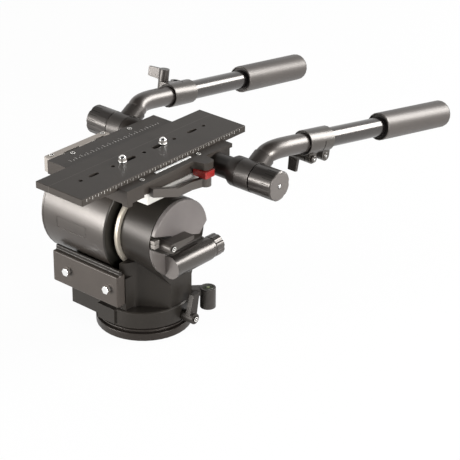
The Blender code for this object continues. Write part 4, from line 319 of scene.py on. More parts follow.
bright_alloy = satin_metal("bright_alloy", (0.66, 0.64, 0.60), 0.34, 0.6, 0.5, 2400, ALONG_X, 0.05)
rail_alloy = satin_metal("rail_alloy", (0.34, 0.31, 0.28), 0.36, 0.7, 0.5, 2400, ALONG_Y, 0.06)
ring_alloy = satin_metal("ring_alloy", (0.40, 0.36, 0.30), 0.46, 0.6, 0.5, 2600, ROUND_X, 0.08)
bright_steel = satin_metal("bright_steel", (0.86, 0.86, 0.85), 0.16, 1.0, 0.5, 3000)
plain_steel = satin_metal(
    "plain_steel", (0.26, 0.24, 0.22), 0.42, 0.7, 0.5, depth=0.00001, strength=0.08, gloss_spread=0.03)
spring_steel = satin_metal("spring_steel", (0.20, 0.20, 0.21), 0.35, 0.9, 0.5)
gloss_tube = satin_metal(
    "gloss_tube", (0.10, 0.088, 0.080), 0.20, 0.75, 0.6, change=0.05, depth=0.00002, strength=0.12,
    gloss_spread=0.03)
clamp_grey = satin_metal("clamp_grey", (0.020, 0.017, 0.014), 0.32, 0.0, 0.9)
lever_black = satin_metal("lever_black", (0.020, 0.017, 0.015), 0.32, 0.0, 0.6)
pan_lever_black = satin_metal("pan_lever_black", (0.016, 0.014, 0.012), 0.46, 0.0, 0.30)
tilt_lever_grey = satin_metal("tilt_lever_grey", (0.036, 0.031, 0.027), 0.42, 0.0, 0.5)
lock_grey = satin_metal("lock_grey", (0.045, 0.039, 0.034), 0.36, 0.0, 0.6)
elbow_satin = satin_metal("elbow_satin", (0.022, 0.019, 0.017), 0.40, 0.0, 0.6)
knob_metal = satin_metal("knob_metal", (0.022, 0.019, 0.017), 0.26, 0.0, 1.0, **MACHINED)
drag_casting = satin_metal("drag_casting", (0.016, 0.014, 0.012), 0.25, 0.0, 1.0, **MACHINED)
rosette_metal = satin_metal(
    "rosette_metal", (0.010, 0.008, 0.007), 0.32, 0.0, 0.8, change=0.08, depth=0.00002, strength=0.10,
    gloss_spread=0.03)
grip_grey = satin_metal(
    "grip_grey", (0.030, 0.025, 0.022), 0.42, 0.0, 0.8, 1900, change=0.14, depth=0.00005, strength=0.30,
    gloss_spread=0.08)
bent_satin = satin_metal("bent_tube_satin", (0.022, 0.018, 0.016), 0.34, 0.0, 1.0, **DRAWN)
slide_gloss = satin_metal("slide_tube_gloss", (0.006, 0.005, 0.005), 0.18, 0.0, 1.0, **POLISHED)
level_black = satin_metal("level_black", (0.022, 0.020, 0.018), 0.36, 0.0, 0.5)
vial_green = satin_metal("vial_green", (0.020, 0.028, 0.014), 0.12, 0.0, 0.6, **GLASSY)
bubble_green = satin_metal("bubble_green", (0.16, 0.20, 0.09), 0.15, 0.0, 0.6, **GLASSY)
catch_red = satin_metal("catch_red", (0.26, 0.018, 0.016), 0.26, 0.0, 0.6)
index_white = satin_metal("index_white", (0.88, 0.88, 0.87), 0.45, 0.0, 0.4)
mark_white = satin_metal("mark_white", (0.55, 0.53, 0.50), 0.50, 0.0, 0.3)
lining_brown = satin_metal("lining_brown", (0.12, 0.09, 0.06), 0.80, 0.0, 0.3)
rim_bright = satin_metal("rim_bright", (0.82, 0.80, 0.76), 0.40, 0.0, 0.5)
head_black = satin_metal("head_black", (0.003, 0.003, 0.002), 0.50, 0.0, 0.2)
flute_shade_black = satin_metal("flute_shade_black", (0.003, 0.003, 0.002), 0.60, 0.0, 0.2)
bush_and_shade_black = satin_metal("bush_and_shade_black", (0.012, 0.011, 0.010), 0.62, 0.0, 0.3)
socket_black = satin_metal("socket_black", (0.010, 0.009, 0.009), 0.50, 0.0, 0.3)
print("finishes:", len(bpy.data.materials))

# %% [markdown]
# Some pieces are of two tones: a knob's face is cut bare after blackening. Other bands are painted shade:
# the drum's rim, the block's lip and two thin lines on the drag cylinder; its pad and D-shaped face are
# painted light.
# Each band lies between two distances along an axis, so the piece needs no extra faces for it.

# %% Painted bands
FAR = 1.0
KNOB_FACE_X = 160.0 * MM
KNOB_FACE_GREY = (0.075, 0.067, 0.062)
DRUM_BACK_X = -100.0 * MM
DRUM_RIM_SHADE_X = 4.2 * MM
DRUM_RIM_SHADE_BLACK = (0.003, 0.003, 0.002)
PLATE_GROOVE_X = (17.2 * MM, 17.9 * MM)
GROOVE_GREY = (0.075, 0.066, 0.058)
PAD_LIGHT_FACE_X = -62.9 * MM
PAD_PAINTED_LIGHT_GREY = (0.085, 0.076, 0.071)
DRAG_FACE_LIGHT_Y = (25.6 * MM, 26.5 * MM)
DRAG_FACE_PAINTED_LIGHT_GREY = (0.090, 0.081, 0.076)
DRAG_FRONT_SHADE_LINE_Y = (24.6 * MM, 25.6 * MM)
DRAG_REAR_SHADE_LINE_Y = (-45.4 * MM, -43.9 * MM)
LINE_SHADE_BLACK = (0.004, 0.004, 0.003)
BLOCK_LIP_SHADE_Z = (94.1 * MM, 200.0 * MM)
LIP_SHADE_BLACK = (0.005, 0.004, 0.003)
paint_between(rosette_metal, "X", -FAR, -KNOB_FACE_X, KNOB_FACE_GREY)
paint_between(rosette_metal, "X", KNOB_FACE_X, FAR, KNOB_FACE_GREY)
# painted shade: the drum's rim end is painted black where it lies in shade
paint_between(drum_grey, "X", DRUM_BACK_X, DRUM_RIM_SHADE_X, DRUM_RIM_SHADE_BLACK)
paint_between(plate_black, "X", *PLATE_GROOVE_X, GROOVE_GREY)
# painted light: the drag cylinder's pad face and D-shaped end face are painted lighter grey
paint_between(drag_casting, "X", PAD_LIGHT_FACE_X, 0.0, PAD_PAINTED_LIGHT_GREY)
paint_between(drag_casting, "Y", *DRAG_FACE_LIGHT_Y, DRAG_FACE_PAINTED_LIGHT_GREY)
# painted shade: two thin black lines on the drag cylinder, one beside its end face and one further back
paint_between(drag_casting, "Y", *DRAG_FRONT_SHADE_LINE_Y, LINE_SHADE_BLACK)
paint_between(drag_casting, "Y", *DRAG_REAR_SHADE_LINE_Y, LINE_SHADE_BLACK)
# painted shade: the block's lip beside the gap under the drum is painted black
paint_between(block_grey, "Z", *BLOCK_LIP_SHADE_Z, LIP_SHADE_BLACK)
print("painted bands: 9")

# %% [markdown]
# Real machined parts have no knife edges: each corner carries a tiny bevel that catches the light.
# The solids keep their meshes; a weld, a bevel and weighted normals are laid over them as modifiers.
# Where a bevel has no room, an edge split keeps the corner crisp, so that shading doesn't smear round it.

# %% Dress the solids
SOLID_FINISH = {
    "mounting_base": base_black, "pan_spindle": plain_steel, "pan_bearing_lower": bright_steel,
    "pan_bearing_upper": bright_steel, "spindle_nut": plain_steel, "pan_drag_disc": lining_brown,
    "pan_housing": housing_grey, "accessory_block": block_grey, "accessory_bolt_left": bright_steel,
    "accessory_bolt_right": bright_steel, "side_cover": cover_grey, "tilt_clamp_boss": plain_steel,
    "collar_ring": ring_alloy, "tilt_axle": plain_steel, "tilt_bearing_left": bright_steel,
    "tilt_bearing_right": bright_steel, "tilt_drag_stator": bright_alloy, "drag_cylinder": drag_casting,
    "level_holder": level_black, "level_vial": vial_green, "pan_lock_lever": pan_lever_black,
    "pan_lever_screw": head_black, "tilt_lock_lever": tilt_lever_grey, "tilt_lever_screw": head_black,
    "tilt_drag_knob": knob_metal, "tilting_drum": drum_grey, "drum_end_cap": drum_grey,
    "blank_name_plate": drum_grey, "balance_spring": spring_steel, "tilt_drag_rotor": lining_brown,
    "tilt_saddle": bright_alloy, "slide_base": plate_black, "index_strip": index_white,
    "clamp_rail": rail_alloy, "rail_screw_front": head_black, "rail_screw_rear": head_black,
    "handle_yoke": base_black, "camera_plate": plate_black, "camera_screw_front": bright_steel,
    "camera_screw_rear": bright_steel, "plate_lock_lever": lock_grey, "release_catch": catch_red,
    "platform_screw_front_left": head_black, "platform_screw_front_right": head_black,
    "platform_screw_rear_left": head_black, "platform_screw_rear_right": head_black,
}
for side in ("left", "right"):
    SOLID_FINISH[side + "_handle_elbow"] = elbow_satin
    SOLID_FINISH[side + "_bent_tube"] = gloss_tube
    SOLID_FINISH[side + "_clamp_collar"] = clamp_grey
    SOLID_FINISH[side + "_clamp_lever"] = lever_black
    SOLID_FINISH[side + "_sliding_tube"] = gloss_tube
    SOLID_FINISH[side + "_grip"] = grip_grey
    SOLID_FINISH[side + "_rosette_knob"] = rosette_metal
EDGE_WIDTH = 0.35 * MM
WIDE_EDGE = 0.7 * MM
SMALL_EDGE = 0.12 * MM
WELD_DISTANCE = 0.01 * MM
MERGE_DISTANCE = 0.001 * MM
SHARP_ANGLE = math.radians(32)
CRISP_ANGLE = math.radians(50)


def soften_edges(piece, width=EDGE_WIDTH):
    weld = piece.modifiers.new("weld", "WELD")
    weld.merge_threshold = WELD_DISTANCE
    bevel = piece.modifiers.new("edge", "BEVEL")
    bevel.width = width
    bevel.segments = 2
    bevel.limit_method = "ANGLE"
    bevel.angle_limit = SHARP_ANGLE
    split = piece.modifiers.new("crisp", "EDGE_SPLIT")
    split.split_angle = CRISP_ANGLE
    normals = piece.modifiers.new("normals", "WEIGHTED_NORMAL")
    normals.keep_sharp = True


WIDE_EDGED = (
    "drag_cylinder", "pan_housing", "slide_base", "camera_plate", "accessory_block", "clamp_rail",
    "side_cover", "plate_lock_lever", "mounting_base", "tilt_lock_lever", "pan_lock_lever", "handle_yoke")
for name, finish in SOLID_FINISH.items():
    solid = nodes[name]
    solid.data.materials.clear()
    solid.data.materials.append(finish)
    solid.data.polygons.foreach_set("use_smooth", [True] * len(solid.data.polygons))
    soften_edges(solid, WIDE_EDGE if name in WIDE_EDGED else EDGE_WIDTH)
print("solids dressed:", len(SOLID_FINISH))

# %% [markdown]
# Small things repeat all over this head: screw sockets, rule marks, thread turns and round bars.
# Each could be modelled by hand, but a node tree makes them all from a few named sizes.
# These helpers start a tree, wire its nodes, run it once on a few points and keep a plain mesh.

# %% Helpers for node trees


def start_tree(name, sizes):
    """A new tree with a geometry socket and one named input for each size."""
    tree = bpy.data.node_groups.new(name, "GeometryNodeTree")
    tree.interface.new_socket("Geometry", in_out="INPUT", socket_type="NodeSocketGeometry")
    for label, kind in sizes:
        tree.interface.new_socket(label, in_out="INPUT", socket_type="NodeSocket" + kind)
    tree.interface.new_socket("Geometry", in_out="OUTPUT", socket_type="NodeSocketGeometry")
    return tree, tree.nodes.new("NodeGroupInput"), tree.nodes.new("NodeGroupOutput")


def put(tree, kind, links, **settings):
    """Add one node; links gives a value or another node's output for each of its sockets."""
    node = tree.nodes.new(kind)
    for key, value in settings.items():
        setattr(node, key, value)
    for socket, source in links.items():
        if isinstance(source, bpy.types.NodeSocket):
            tree.links.new(source, node.inputs[socket])
        else:
            node.inputs[socket].default_value = source
    return node


def end_tree(tree, leave, shape, finish):
    """Every tree ends alike: real meshes instead of instances, then one finish."""
    real = put(tree, "GeometryNodeRealizeInstances", {"Geometry": shape})
    done = put(tree, "GeometryNodeSetMaterial", {"Geometry": real.outputs[0], "Material": finish})
    tree.links.new(done.outputs[0], leave.inputs[0])


def on_points(tree, enter, shape):
    """Copy a shape to every point and turn its Z to the point's own direction."""
    way = put(tree, "GeometryNodeInputNamedAttribute", {"Name": "way"}, data_type="FLOAT_VECTOR")
    turn = put(tree, "FunctionNodeAlignRotationToVector", {"Vector": way.outputs[0]}, axis="Z")
    return put(tree, "GeometryNodeInstanceOnPoints", {
        "Points": enter.outputs["Geometry"], "Instance": shape, "Rotation": turn.outputs[0]})


def grow(name, body, tree, values, points, edges=(), ways=None):
    """Run a tree on points, keep the result as a plain mesh and let it ride on a body."""
    seed = bpy.data.meshes.new(name)
    seed.from_pydata([tuple(point) for point in points], list(edges), [])
    if ways:
        store = seed.attributes.new("way", "FLOAT_VECTOR", "POINT")
        for index, way in enumerate(ways):
            store.data[index].vector = way
    piece = bpy.data.objects.new(name, seed)
    bpy.context.scene.collection.objects.link(piece)
    modifier = piece.modifiers.new("grow", "NODES")
    modifier.node_group = tree
    for item in tree.interface.items_tree:
        if item.item_type == "SOCKET" and item.in_out == "INPUT" and item.name in values:
            modifier[item.identifier] = values[item.name]
    view = bpy.context.evaluated_depsgraph_get()
    made = bpy.data.meshes.new_from_object(piece.evaluated_get(view))
    piece.modifiers.clear()
    piece.data = made
    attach(piece, body)
    print(name, "faces:", len(made.polygons))
    return piece


print("tree helpers ready")

# %% [markdown]
# The handles are bent and straight tubes, so each is one circle carried along a line of points.
# A bend that is drawn from many points gives one clean streak of light, as polished tube does.

# %% Round bars for the handles
HANDLE_SPLAY = math.radians(2.6)
HANDLE_PITCH = math.radians(9.34)
MOUTH = Vector((118.5, -175.6, 228.5)) * MM
ELBOW_PIVOT = Vector((111.7, -79.2, 213.5)) * MM
ELBOW_TIP = Vector((111.7, -106.2, 230.3)) * MM
SOCKET_DEPTH = 8.7 * MM
TUBE_LEAD = 3.0 * MM
TUBE_RADIUS = 13.0 * MM
CORNER_BACK = 62.2 * MM
BEND_RUN = 31.0 * MM
BEND_RUN_IN = 9.0 * MM
BEND_POINTS = 24
TUBE_IN_COLLAR = 14.0 * MM
SLIDE_START = 26.0 * MM
GRIP_MOUTH = 157.5 * MM
GRIP_INSIDE = 25.0 * MM
BAR_SIDES = 64
EXTENSION = {"left": 0, "right": 6.5 * MM}
SIDES = (("left", -1), ("right", 1))


def bar_tree():
    tree, enter, leave = start_tree("round_bar", [
        ("Radius", "Float"), ("Sides", "Int"), ("Finish", "Material")])
    line = put(tree, "GeometryNodeMeshToCurve", {"Mesh": enter.outputs["Geometry"]})
    circle = put(tree, "GeometryNodeCurvePrimitiveCircle", {
        "Radius": enter.outputs["Radius"], "Resolution": enter.outputs["Sides"]})
    skin = put(tree, "GeometryNodeCurveToMesh", {
        "Curve": line.outputs[0], "Profile Curve": circle.outputs[0], "Fill Caps": True})
    smooth = put(tree, "GeometryNodeSetShadeSmooth", {"Geometry": skin.outputs[0]})
    end_tree(tree, leave, smooth.outputs[0], enter.outputs["Finish"])
    return tree


def handle_line(sign):
    """Collar mouth, elbow pivot, elbow tip and direction of one handle."""
    flat = math.cos(HANDLE_PITCH)
    along = Vector((
        sign * math.sin(HANDLE_SPLAY) * flat, -math.cos(HANDLE_SPLAY) * flat, -math.sin(HANDLE_PITCH)))
    flip = Vector((sign, 1, 1))
    return MOUTH * flip, ELBOW_PIVOT * flip, ELBOW_TIP * flip, along


def bent_points(mouth, pivot, tip, along):
    arm = (tip - pivot).normalized()
    lead = tip + arm * TUBE_LEAD
    corner = mouth - along * CORNER_BACK
    first = (corner - lead).normalized()
    points = [tip - arm * SOCKET_DEPTH, lead]
    for step in range(BEND_POINTS + 1):
        share = step / BEND_POINTS
        near = corner - first * BEND_RUN_IN * (1 - share) ** 2
        points.append(near + along * BEND_RUN * share ** 2)
    return points + [mouth, mouth + along * TUBE_IN_COLLAR]


def chain(points):
    return [(index, index + 1) for index in range(len(points) - 1)]


round_bar = bar_tree()
bar_sizes = {"Radius": TUBE_RADIUS, "Sides": BAR_SIDES}
for side, sign in SIDES:
    mouth, pivot, tip, along = handle_line(sign)
    points = bent_points(mouth, pivot, tip, along)
    values = {**bar_sizes, "Finish": bent_satin}
    bar = grow(
        side + "_bent_bar", side + "_handle", round_bar, values, points,
        chain(points))
    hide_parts(side + "_bent_tube")
    extension = EXTENSION[side]
    slide_end = GRIP_MOUTH + GRIP_INSIDE + extension
    points = [mouth + along * (SLIDE_START + extension), mouth + along * slide_end]
    values = {**bar_sizes, "Finish": slide_gloss}
    bar = grow(
        side + "_slide_bar", side + "_extension", round_bar, values, points,
        chain(points))
    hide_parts(side + "_sliding_tube")

# %% [markdown]
# Where a tube goes into its collar or its grip, a dark soft bush fills the gap and keeps dirt out; its
# black is also painted shade for the mouth's hollow.
# Such rings are turned: a closed outline of radius and height goes round an axis.

# %% Turned pieces


def turned_piece(name, body, finish, outline, centre, way, steps=56):
    """Turn a closed outline of (radius, height) pairs, in millimetres, about an axis."""
    shape = bmesh.new()
    turn = Vector(way).to_track_quat("Z", "Y").to_matrix()
    rings = []
    for step in range(steps):
        angle = math.tau * step / steps
        ring = []
        for radius, height in outline:
            point = Vector((radius * math.cos(angle), radius * math.sin(angle), height)) * MM
            ring.append(shape.verts.new(Vector(centre) + turn @ point))
        rings.append(ring)
    for step in range(steps):
        near = rings[step]
        far = rings[(step + 1) % steps]
        for index in range(len(outline)):
            after = (index + 1) % len(outline)
            shape.faces.new((near[index], far[index], far[after], near[after]))
    bmesh.ops.remove_doubles(shape, verts=shape.verts, dist=MERGE_DISTANCE)
    bmesh.ops.recalc_face_normals(shape, faces=shape.faces)
    mesh = bpy.data.meshes.new(name)
    shape.to_mesh(mesh)
    shape.free()
    mesh.polygons.foreach_set("use_smooth", [True] * len(mesh.polygons))
    mesh.materials.append(finish)
    piece = bpy.data.objects.new(name, mesh)
    bpy.context.scene.collection.objects.link(piece)
    soften_edges(piece, SMALL_EDGE)
    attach(piece, body)
    return piece


# painted shade: the black of these bushes also stands in for the shade inside each mouth
COLLAR_BUSH = [(13.1, 1.2), (15.7, 1.2), (15.7, 5.9), (13.1, 5.9)]
GRIP_BUSH = [(13.1, 2.2), (17.5, 2.2), (17.5, 6.9), (13.1, 6.9)]
for side, sign in SIDES:
    mouth, pivot, tip, along = handle_line(sign)
    name = side + "_collar_bush"
    turned_piece(name, side + "_handle", bush_and_shade_black, COLLAR_BUSH, mouth, along)
    grip_mouth = mouth + along * (GRIP_MOUTH + EXTENSION[side])
    name = side + "_grip_bush"
    turned_piece(name, side + "_extension", bush_and_shade_black, GRIP_BUSH, grip_mouth, along)
print("bushes made: 4")

# %% [markdown]
# Each rosette knob ends in a chamfered face with a pressed centre button inside a groove, drawn as a
# black ring of painted shade.
# The button and its groove are two turned pieces that sit on the knob's outer face.

# %% Knob buttons
BUTTON = [(0, 0), (2.3, 0), (2.3, 0.25), (1.7, 0.55), (0, 0.6)]
# painted shade: the groove is a thin black ring standing for the shade inside it
GROOVE = [(2.4, 0), (3.5, 0), (3.4, 0.16), (2.4, 0.16)]
for side, sign in SIDES:
    low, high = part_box(side + "_rosette_knob")
    face = Vector((high[0] if sign > 0 else low[0], ELBOW_PIVOT.y, ELBOW_PIVOT.z))
    way = (sign, 0, 0)
    turned_piece(side + "_knob_button", side + "_knob", bright_steel, BUTTON, face, way)
    turned_piece(side + "_knob_groove_shade", side + "_knob", bush_and_shade_black, GROOVE, face, way)
print("knob buttons made: 2")

# %% [markdown]
# The rims of the two rosette knobs are cut with narrow straight grooves for the fingers.
# Each groove is one black strip of painted shade, laid where a ray from outside meets the rim, so it sits
# on the metal.
# The tree turns every strip to face outwards.

# %% Knob flutes
FLUTE_COUNT = 18
FLUTE_SIZE = Vector((14.0, 0.7, 0.2)) * MM
FLUTE_END = 3.0 * MM
RAY_START = 40 * MM


def flute_shade_tree():
    tree, enter, leave = start_tree("knob_flute_shade", [("Flute size", "Vector"), ("Finish", "Material")])
    strip = put(tree, "GeometryNodeMeshCube", {"Size": enter.outputs["Flute size"]})
    laid = on_points(tree, enter, strip.outputs["Mesh"])
    end_tree(tree, leave, laid.outputs[0], enter.outputs["Finish"])
    return tree


# painted shade: each flute is a thin black strip standing for the shade in its groove
knob_flute_shade = flute_shade_tree()
for side, sign in SIDES:
    low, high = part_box(side + "_rosette_knob")
    face = high[0] if sign > 0 else low[0]
    middle = face - sign * (FLUTE_END + FLUTE_SIZE.x / 2)
    knob = nodes[side + "_rosette_knob"]
    to_knob = knob.matrix_world.inverted()
    places = []
    ways = []
    for step in range(FLUTE_COUNT):
        angle = math.tau * step / FLUTE_COUNT
        way = Vector((0, math.cos(angle), math.sin(angle)))
        start = Vector((middle, ELBOW_PIVOT.y, ELBOW_PIVOT.z)) + way * RAY_START
        found, place, normal, index = knob.ray_cast(to_knob @ start, to_knob.to_3x3() @ -way)
        if found:
            places.append(knob.matrix_world @ place)
            ways.append(way)
    values = {"Flute size": FLUTE_SIZE, "Finish": flute_shade_black}
    grow(side + "_knob_flute_shade", side + "_knob", knob_flute_shade, values, places, ways=ways)

# %% [markdown]
# The split collar has two lugs, and a bolt with a dished head crosses each of them.
# The heads are turned pieces with a bright point in the middle, laid on the lugs' outer faces.

# %% Lug screw heads
LUG_OFFSET = 21.5
LUG_SCREWS = (("lever", 15.1, 10.95), ("fixed", 42.0, 8.05))
LUG_HEAD = [(0, 0), (4.4, 0), (4.4, 0.5), (3.9, 0.9), (2.7, 0.9), (2.3, 0.55), (0, 0.55)]
LUG_DOT = [(0, 0.56), (1.5, 0.56), (1.3, 0.95), (0, 1.0)]
for side, sign in SIDES:
    mouth, pivot, tip, along = handle_line(sign)
    across = (Vector((1, 0, 0)) - along * along.x).normalized()
    upward = across.cross(along).normalized()
    upward = upward if upward.z > 0 else -upward
    lug_way, bolt_way = (across, upward) if side == "right" else (-upward, across)
    for label, distance, face in LUG_SCREWS:
        centre = mouth + (along * distance + lug_way * LUG_OFFSET - bolt_way * face) * MM
        body = side + ("_clamp" if label == "lever" else "_handle")
        name = side + "_" + label + "_lug_"
        turned_piece(name + "head", body, clamp_grey, LUG_HEAD, centre, -bolt_way, 32)
        turned_piece(name + "dot", body, bright_steel, LUG_DOT, centre, -bolt_way, 24)
print("lug screw heads made: 4")

# %% [markdown]
# The socket screws of this head are blackened, with a bright ring of painted highlight on the rim and a
# bright six-sided socket.
# One tree lays the hexagon on each head and another lays the highlight ring, turned along the screw's own
# way.

# %% Screw sockets and rims
SCREW_HEADS = {
    "tilt_head": [
        ("platform_screw_front_left", 2, 1), ("platform_screw_front_right", 2, 1),
        ("platform_screw_rear_left", 2, 1), ("platform_screw_rear_right", 2, 1),
        ("rail_screw_front", 2, 1), ("rail_screw_rear", 2, 1)],
    "pan_lock": [("pan_lever_screw", 0, -1)],
    "tilt_lock": [("tilt_lever_screw", 0, -1)],
}
SOCKET_SHARE = 0.26
SOCKET_TAPER_SHARE = 0.94
SOCKET_HEIGHT = 0.12 * MM
RIM_SHARE = 0.84
RIM_WIRE = 0.34 * MM


def socket_tree():
    tree, enter, leave = start_tree("hexagon_sockets", [
        ("Socket radius", "Float"), ("Socket height", "Float"), ("Finish", "Material")])
    narrow = put(tree, "ShaderNodeMath", {
        0: enter.outputs["Socket radius"], 1: SOCKET_TAPER_SHARE}, operation="MULTIPLY")
    hexagon = put(tree, "GeometryNodeMeshCone", {
        "Vertices": 6, "Radius Bottom": enter.outputs["Socket radius"], "Radius Top": narrow.outputs[0],
        "Depth": enter.outputs["Socket height"]})
    laid = on_points(tree, enter, hexagon.outputs["Mesh"])
    end_tree(tree, leave, laid.outputs[0], enter.outputs["Finish"])
    return tree


def rim_highlight_tree():
    tree, enter, leave = start_tree("screw_rim_highlights", [
        ("Rim radius", "Float"), ("Wire radius", "Float"), ("Finish", "Material")])
    line = put(tree, "GeometryNodeCurvePrimitiveCircle", {
        "Radius": enter.outputs["Rim radius"], "Resolution": 40})
    wire = put(tree, "GeometryNodeCurvePrimitiveCircle", {
        "Radius": enter.outputs["Wire radius"], "Resolution": 8})
    skin = put(tree, "GeometryNodeCurveToMesh", {
        "Curve": line.outputs[0], "Profile Curve": wire.outputs[0]})
    smooth = put(tree, "GeometryNodeSetShadeSmooth", {"Geometry": skin.outputs[0]})
    laid = on_points(tree, enter, smooth.outputs[0])
    end_tree(tree, leave, laid.outputs[0], enter.outputs["Finish"])
    return tree


hexagon_sockets = socket_tree()
# painted highlight: a bright wire ring laid on each screw head's edge
screw_rim_highlights = rim_highlight_tree()
for body, heads in SCREW_HEADS.items():
    places = []
    ways = []
    for name, axis, sign in heads:
        low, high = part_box(name)
        centre = [(low[index] + high[index]) / 2 for index in range(3)]
        centre[axis] = high[axis] if sign > 0 else low[axis]
        across = [high[index] - low[index] for index in range(3) if index != axis]
        places.append(centre)
        ways.append([sign if index == axis else 0 for index in range(3)])
        head_radius = min(across) / 2
    values = {
        "Socket radius": head_radius * SOCKET_SHARE, "Socket height": SOCKET_HEIGHT, "Finish": rim_bright}
    grow(body + "_sockets", body, hexagon_sockets, values, places, ways=ways)
    values = {"Rim radius": head_radius * RIM_SHARE, "Wire radius": RIM_WIRE, "Finish": rim_bright}
    grow(body + "_rims", body, screw_rim_highlights, values, places, ways=ways)

# %% [markdown]
# The camera plate slides for balance, so the plate's edge and the base beside it carry engraved scales.
# A scale is a row of equal marks with a longer one at every second or third place.
# A tree makes it from its pitch and count, so all three scales share one recipe.

# %% Scales


def scale_tree():
    tree, enter, leave = start_tree("scale_marks", [
        ("Count", "Int"), ("Start", "Vector"), ("Step", "Vector"), ("Mark size", "Vector"),
        ("Mark offset", "Vector"), ("Long scale", "Vector"), ("Every", "Int"), ("Finish", "Material")])
    row = put(tree, "GeometryNodeMeshLine", {
        "Count": enter.outputs["Count"], "Start Location": enter.outputs["Start"],
        "Offset": enter.outputs["Step"]})
    mark = put(tree, "GeometryNodeMeshCube", {"Size": enter.outputs["Mark size"]})
    moved = put(tree, "GeometryNodeTransform", {
        "Geometry": mark.outputs[0], "Translation": enter.outputs["Mark offset"]})
    index = put(tree, "GeometryNodeInputIndex", {})
    rest = put(tree, "ShaderNodeMath", {
        0: index.outputs[0], 1: enter.outputs["Every"]}, operation="MODULO")
    long_mark = put(tree, "FunctionNodeCompare", {0: rest.outputs[0], 1: 0.5}, operation="LESS_THAN")
    scale = put(tree, "GeometryNodeSwitch", {
        "Switch": long_mark.outputs[0], "True": enter.outputs["Long scale"]}, input_type="VECTOR")
    scale.inputs["False"].default_value = (1, 1, 1)
    laid = put(tree, "GeometryNodeInstanceOnPoints", {
        "Points": row.outputs[0], "Instance": moved.outputs[0], "Scale": scale.outputs[0]})
    end_tree(tree, leave, laid.outputs[0], enter.outputs["Finish"])
    return tree


MARK_DEPTH = 0.08
PLATE_PITCH = 5.0
PLATE_SCALE_START = (-40.15, 138.0, 236.6)
BASE_SCALE_X = 57.4
BASE_SCALE_Y = -93.0
STRIP_PITCH = 10.0
STRIP_SCALE_X = -43.8
STRIP_SCALE_Y = -36.0
scale_marks = scale_tree()
base_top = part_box("slide_base")[1][2]
strip_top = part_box("index_strip")[1][2]
plate_scale = {
    "Count": 57, "Start": Vector(PLATE_SCALE_START) * MM, "Step": Vector((0, -PLATE_PITCH, 0)) * MM,
    "Mark size": Vector((MARK_DEPTH, 0.5, 2.2)) * MM, "Mark offset": Vector((0, 0, -1.3)) * MM,
    "Long scale": Vector((1, 1.2, 1.8)), "Every": 2, "Finish": mark_white}
grow("plate_scale", "plate", scale_marks, plate_scale, [(0, 0, 0)])
base_start = Vector((BASE_SCALE_X, BASE_SCALE_Y, base_top / MM)) * MM
base_scale = {
    "Count": 33, "Start": base_start, "Step": Vector((0, PLATE_PITCH, 0)) * MM,
    "Mark size": Vector((2.4, 0.9, MARK_DEPTH)) * MM, "Mark offset": Vector((1.2, 0, 0)) * MM,
    "Long scale": Vector((1.3, 1.1, 1)), "Every": 2, "Finish": mark_white}
grow("base_scale", "tilt_head", scale_marks, base_scale, [(0, 0, 0)])
strip_start = Vector((STRIP_SCALE_X, STRIP_SCALE_Y, strip_top / MM)) * MM
strip_marks = {
    "Count": 7, "Start": strip_start, "Step": Vector((0, STRIP_PITCH, 0)) * MM,
    "Mark size": Vector((2.4, 0.4, MARK_DEPTH)) * MM, "Mark offset": Vector((0, 0, 0)),
    "Long scale": Vector((1.2, 1.4, 1)), "Every": 3, "Finish": socket_black}
grow("strip_marks", "tilt_head", scale_marks, strip_marks, [(0, 0, 0)])

# %% [markdown]
# The numbers beside the scale are printed figures. Each is a text curve that is made a flat mesh,
# turned to read from the side of the head, and joined to the others.

# %% Scale numbers
NUMBER_COUNT = 16
NUMBER_SIZE = 3.4 * MM
NUMBER_X = 62.2 * MM
NUMBER_START = -83.0
NUMBER_PITCH = 10.0
NUMBER_LIFT = 0.04 * MM
joined = bmesh.new()
view = bpy.context.evaluated_depsgraph_get()
for index in range(NUMBER_COUNT):
    curve = bpy.data.curves.new("number", "FONT")
    curve.body = str(index + 1)
    curve.size = NUMBER_SIZE
    curve.align_x = "CENTER"
    curve.align_y = "CENTER"
    curve.resolution_u = 2
    writer = bpy.data.objects.new("number", curve)
    bpy.context.scene.collection.objects.link(writer)
    view.update()
    flat = bpy.data.meshes.new_from_object(writer.evaluated_get(view))
    place = Vector((NUMBER_X, (NUMBER_START + NUMBER_PITCH * index) * MM, base_top + NUMBER_LIFT))
    flat.transform(Matrix.Translation(place) @ Matrix.Rotation(math.radians(-90), 4, "Z"))
    joined.from_mesh(flat)
    bpy.data.objects.remove(writer)
    bpy.data.meshes.remove(flat)
number_mesh = bpy.data.meshes.new("scale_numbers")
joined.to_mesh(number_mesh)
joined.free()
number_mesh.materials.append(mark_white)
numbers = bpy.data.objects.new("scale_numbers", number_mesh)
bpy.context.scene.collection.objects.link(numbers)
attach(numbers, "tilt_head")
print("scale numbers made:", NUMBER_COUNT)

# %% [markdown]
# A camera screw has a real thread. It is a small wire wound round the neck, a few turns of one spiral,
# because at this size the turns read as a thread and a cut thread would cost many more faces.

# %% Camera screw threads
THREAD_RADIUS = 4.62 * MM
THREAD_HEIGHT = 4.4 * MM
THREAD_TURNS = 4.0
THREAD_WIRE = 0.34 * MM
THREAD_DROP = 7.0 * MM


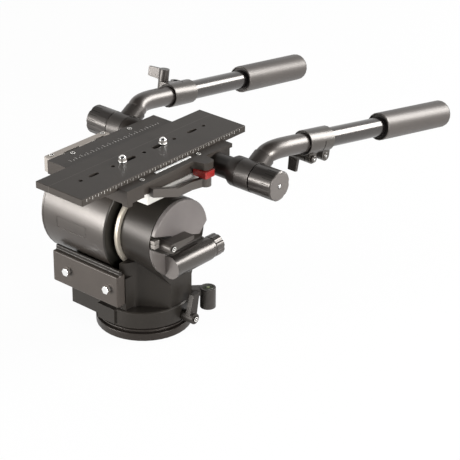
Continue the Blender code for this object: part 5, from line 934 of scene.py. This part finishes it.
def thread_tree():
    tree, enter, leave = start_tree("thread", [
        ("Turns", "Float"), ("Thread radius", "Float"), ("Height", "Float"), ("Wire radius", "Float"),
        ("Place", "Vector"), ("Finish", "Material")])
    spiral = put(tree, "GeometryNodeCurveSpiral", {
        "Resolution": 28, "Rotations": enter.outputs["Turns"], "Height": enter.outputs["Height"],
        "Start Radius": enter.outputs["Thread radius"], "End Radius": enter.outputs["Thread radius"]})
    wire = put(tree, "GeometryNodeCurvePrimitiveCircle", {
        "Radius": enter.outputs["Wire radius"], "Resolution": 6})
    skin = put(tree, "GeometryNodeCurveToMesh", {
        "Curve": spiral.outputs[0], "Profile Curve": wire.outputs[0], "Fill Caps": True})
    smooth = put(tree, "GeometryNodeSetShadeSmooth", {"Geometry": skin.outputs[0]})
    moved = put(tree, "GeometryNodeTransform", {
        "Geometry": smooth.outputs[0], "Translation": enter.outputs["Place"]})
    end_tree(tree, leave, moved.outputs[0], enter.outputs["Finish"])
    return tree


thread = thread_tree()
for end in ("front", "rear"):
    low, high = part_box("camera_screw_" + end)
    foot = Vector(((low[0] + high[0]) / 2, (low[1] + high[1]) / 2, high[2] - THREAD_DROP))
    values = {
        "Turns": THREAD_TURNS, "Thread radius": THREAD_RADIUS, "Height": THREAD_HEIGHT,
        "Wire radius": THREAD_WIRE, "Place": foot, "Finish": plain_steel}
    grow("camera_thread_" + end, end + "_camera_screw", thread, values, [(0, 0, 0)])

# %% [markdown]
# The round level is a black cup with a green-tinted liquid, a circle printed on its glass and one bubble.
# The circle and the bubble are turned pieces that lie on the vial.

# %% Level
vial_low, vial_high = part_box("level_vial")
vial_top = Vector(((vial_low[0] + vial_high[0]) / 2, (vial_low[1] + vial_high[1]) / 2, vial_high[2]))
CIRCLE = [(3.0, 0), (3.5, 0), (3.5, 0.08), (3.0, 0.08)]
BUBBLE = [(0, 0), (2.3, 0), (2.2, 0.16), (1.5, 0.32), (0.7, 0.38), (0, 0.4)]
turned_piece("level_circle", "pan_body", socket_black, CIRCLE, vial_top, (0, 0, 1))
turned_piece("level_bubble", "pan_body", bubble_green, BUBBLE, vial_top, (0, 0, 1))
print("level dressed at", [round(value / MM, 1) for value in vial_top])
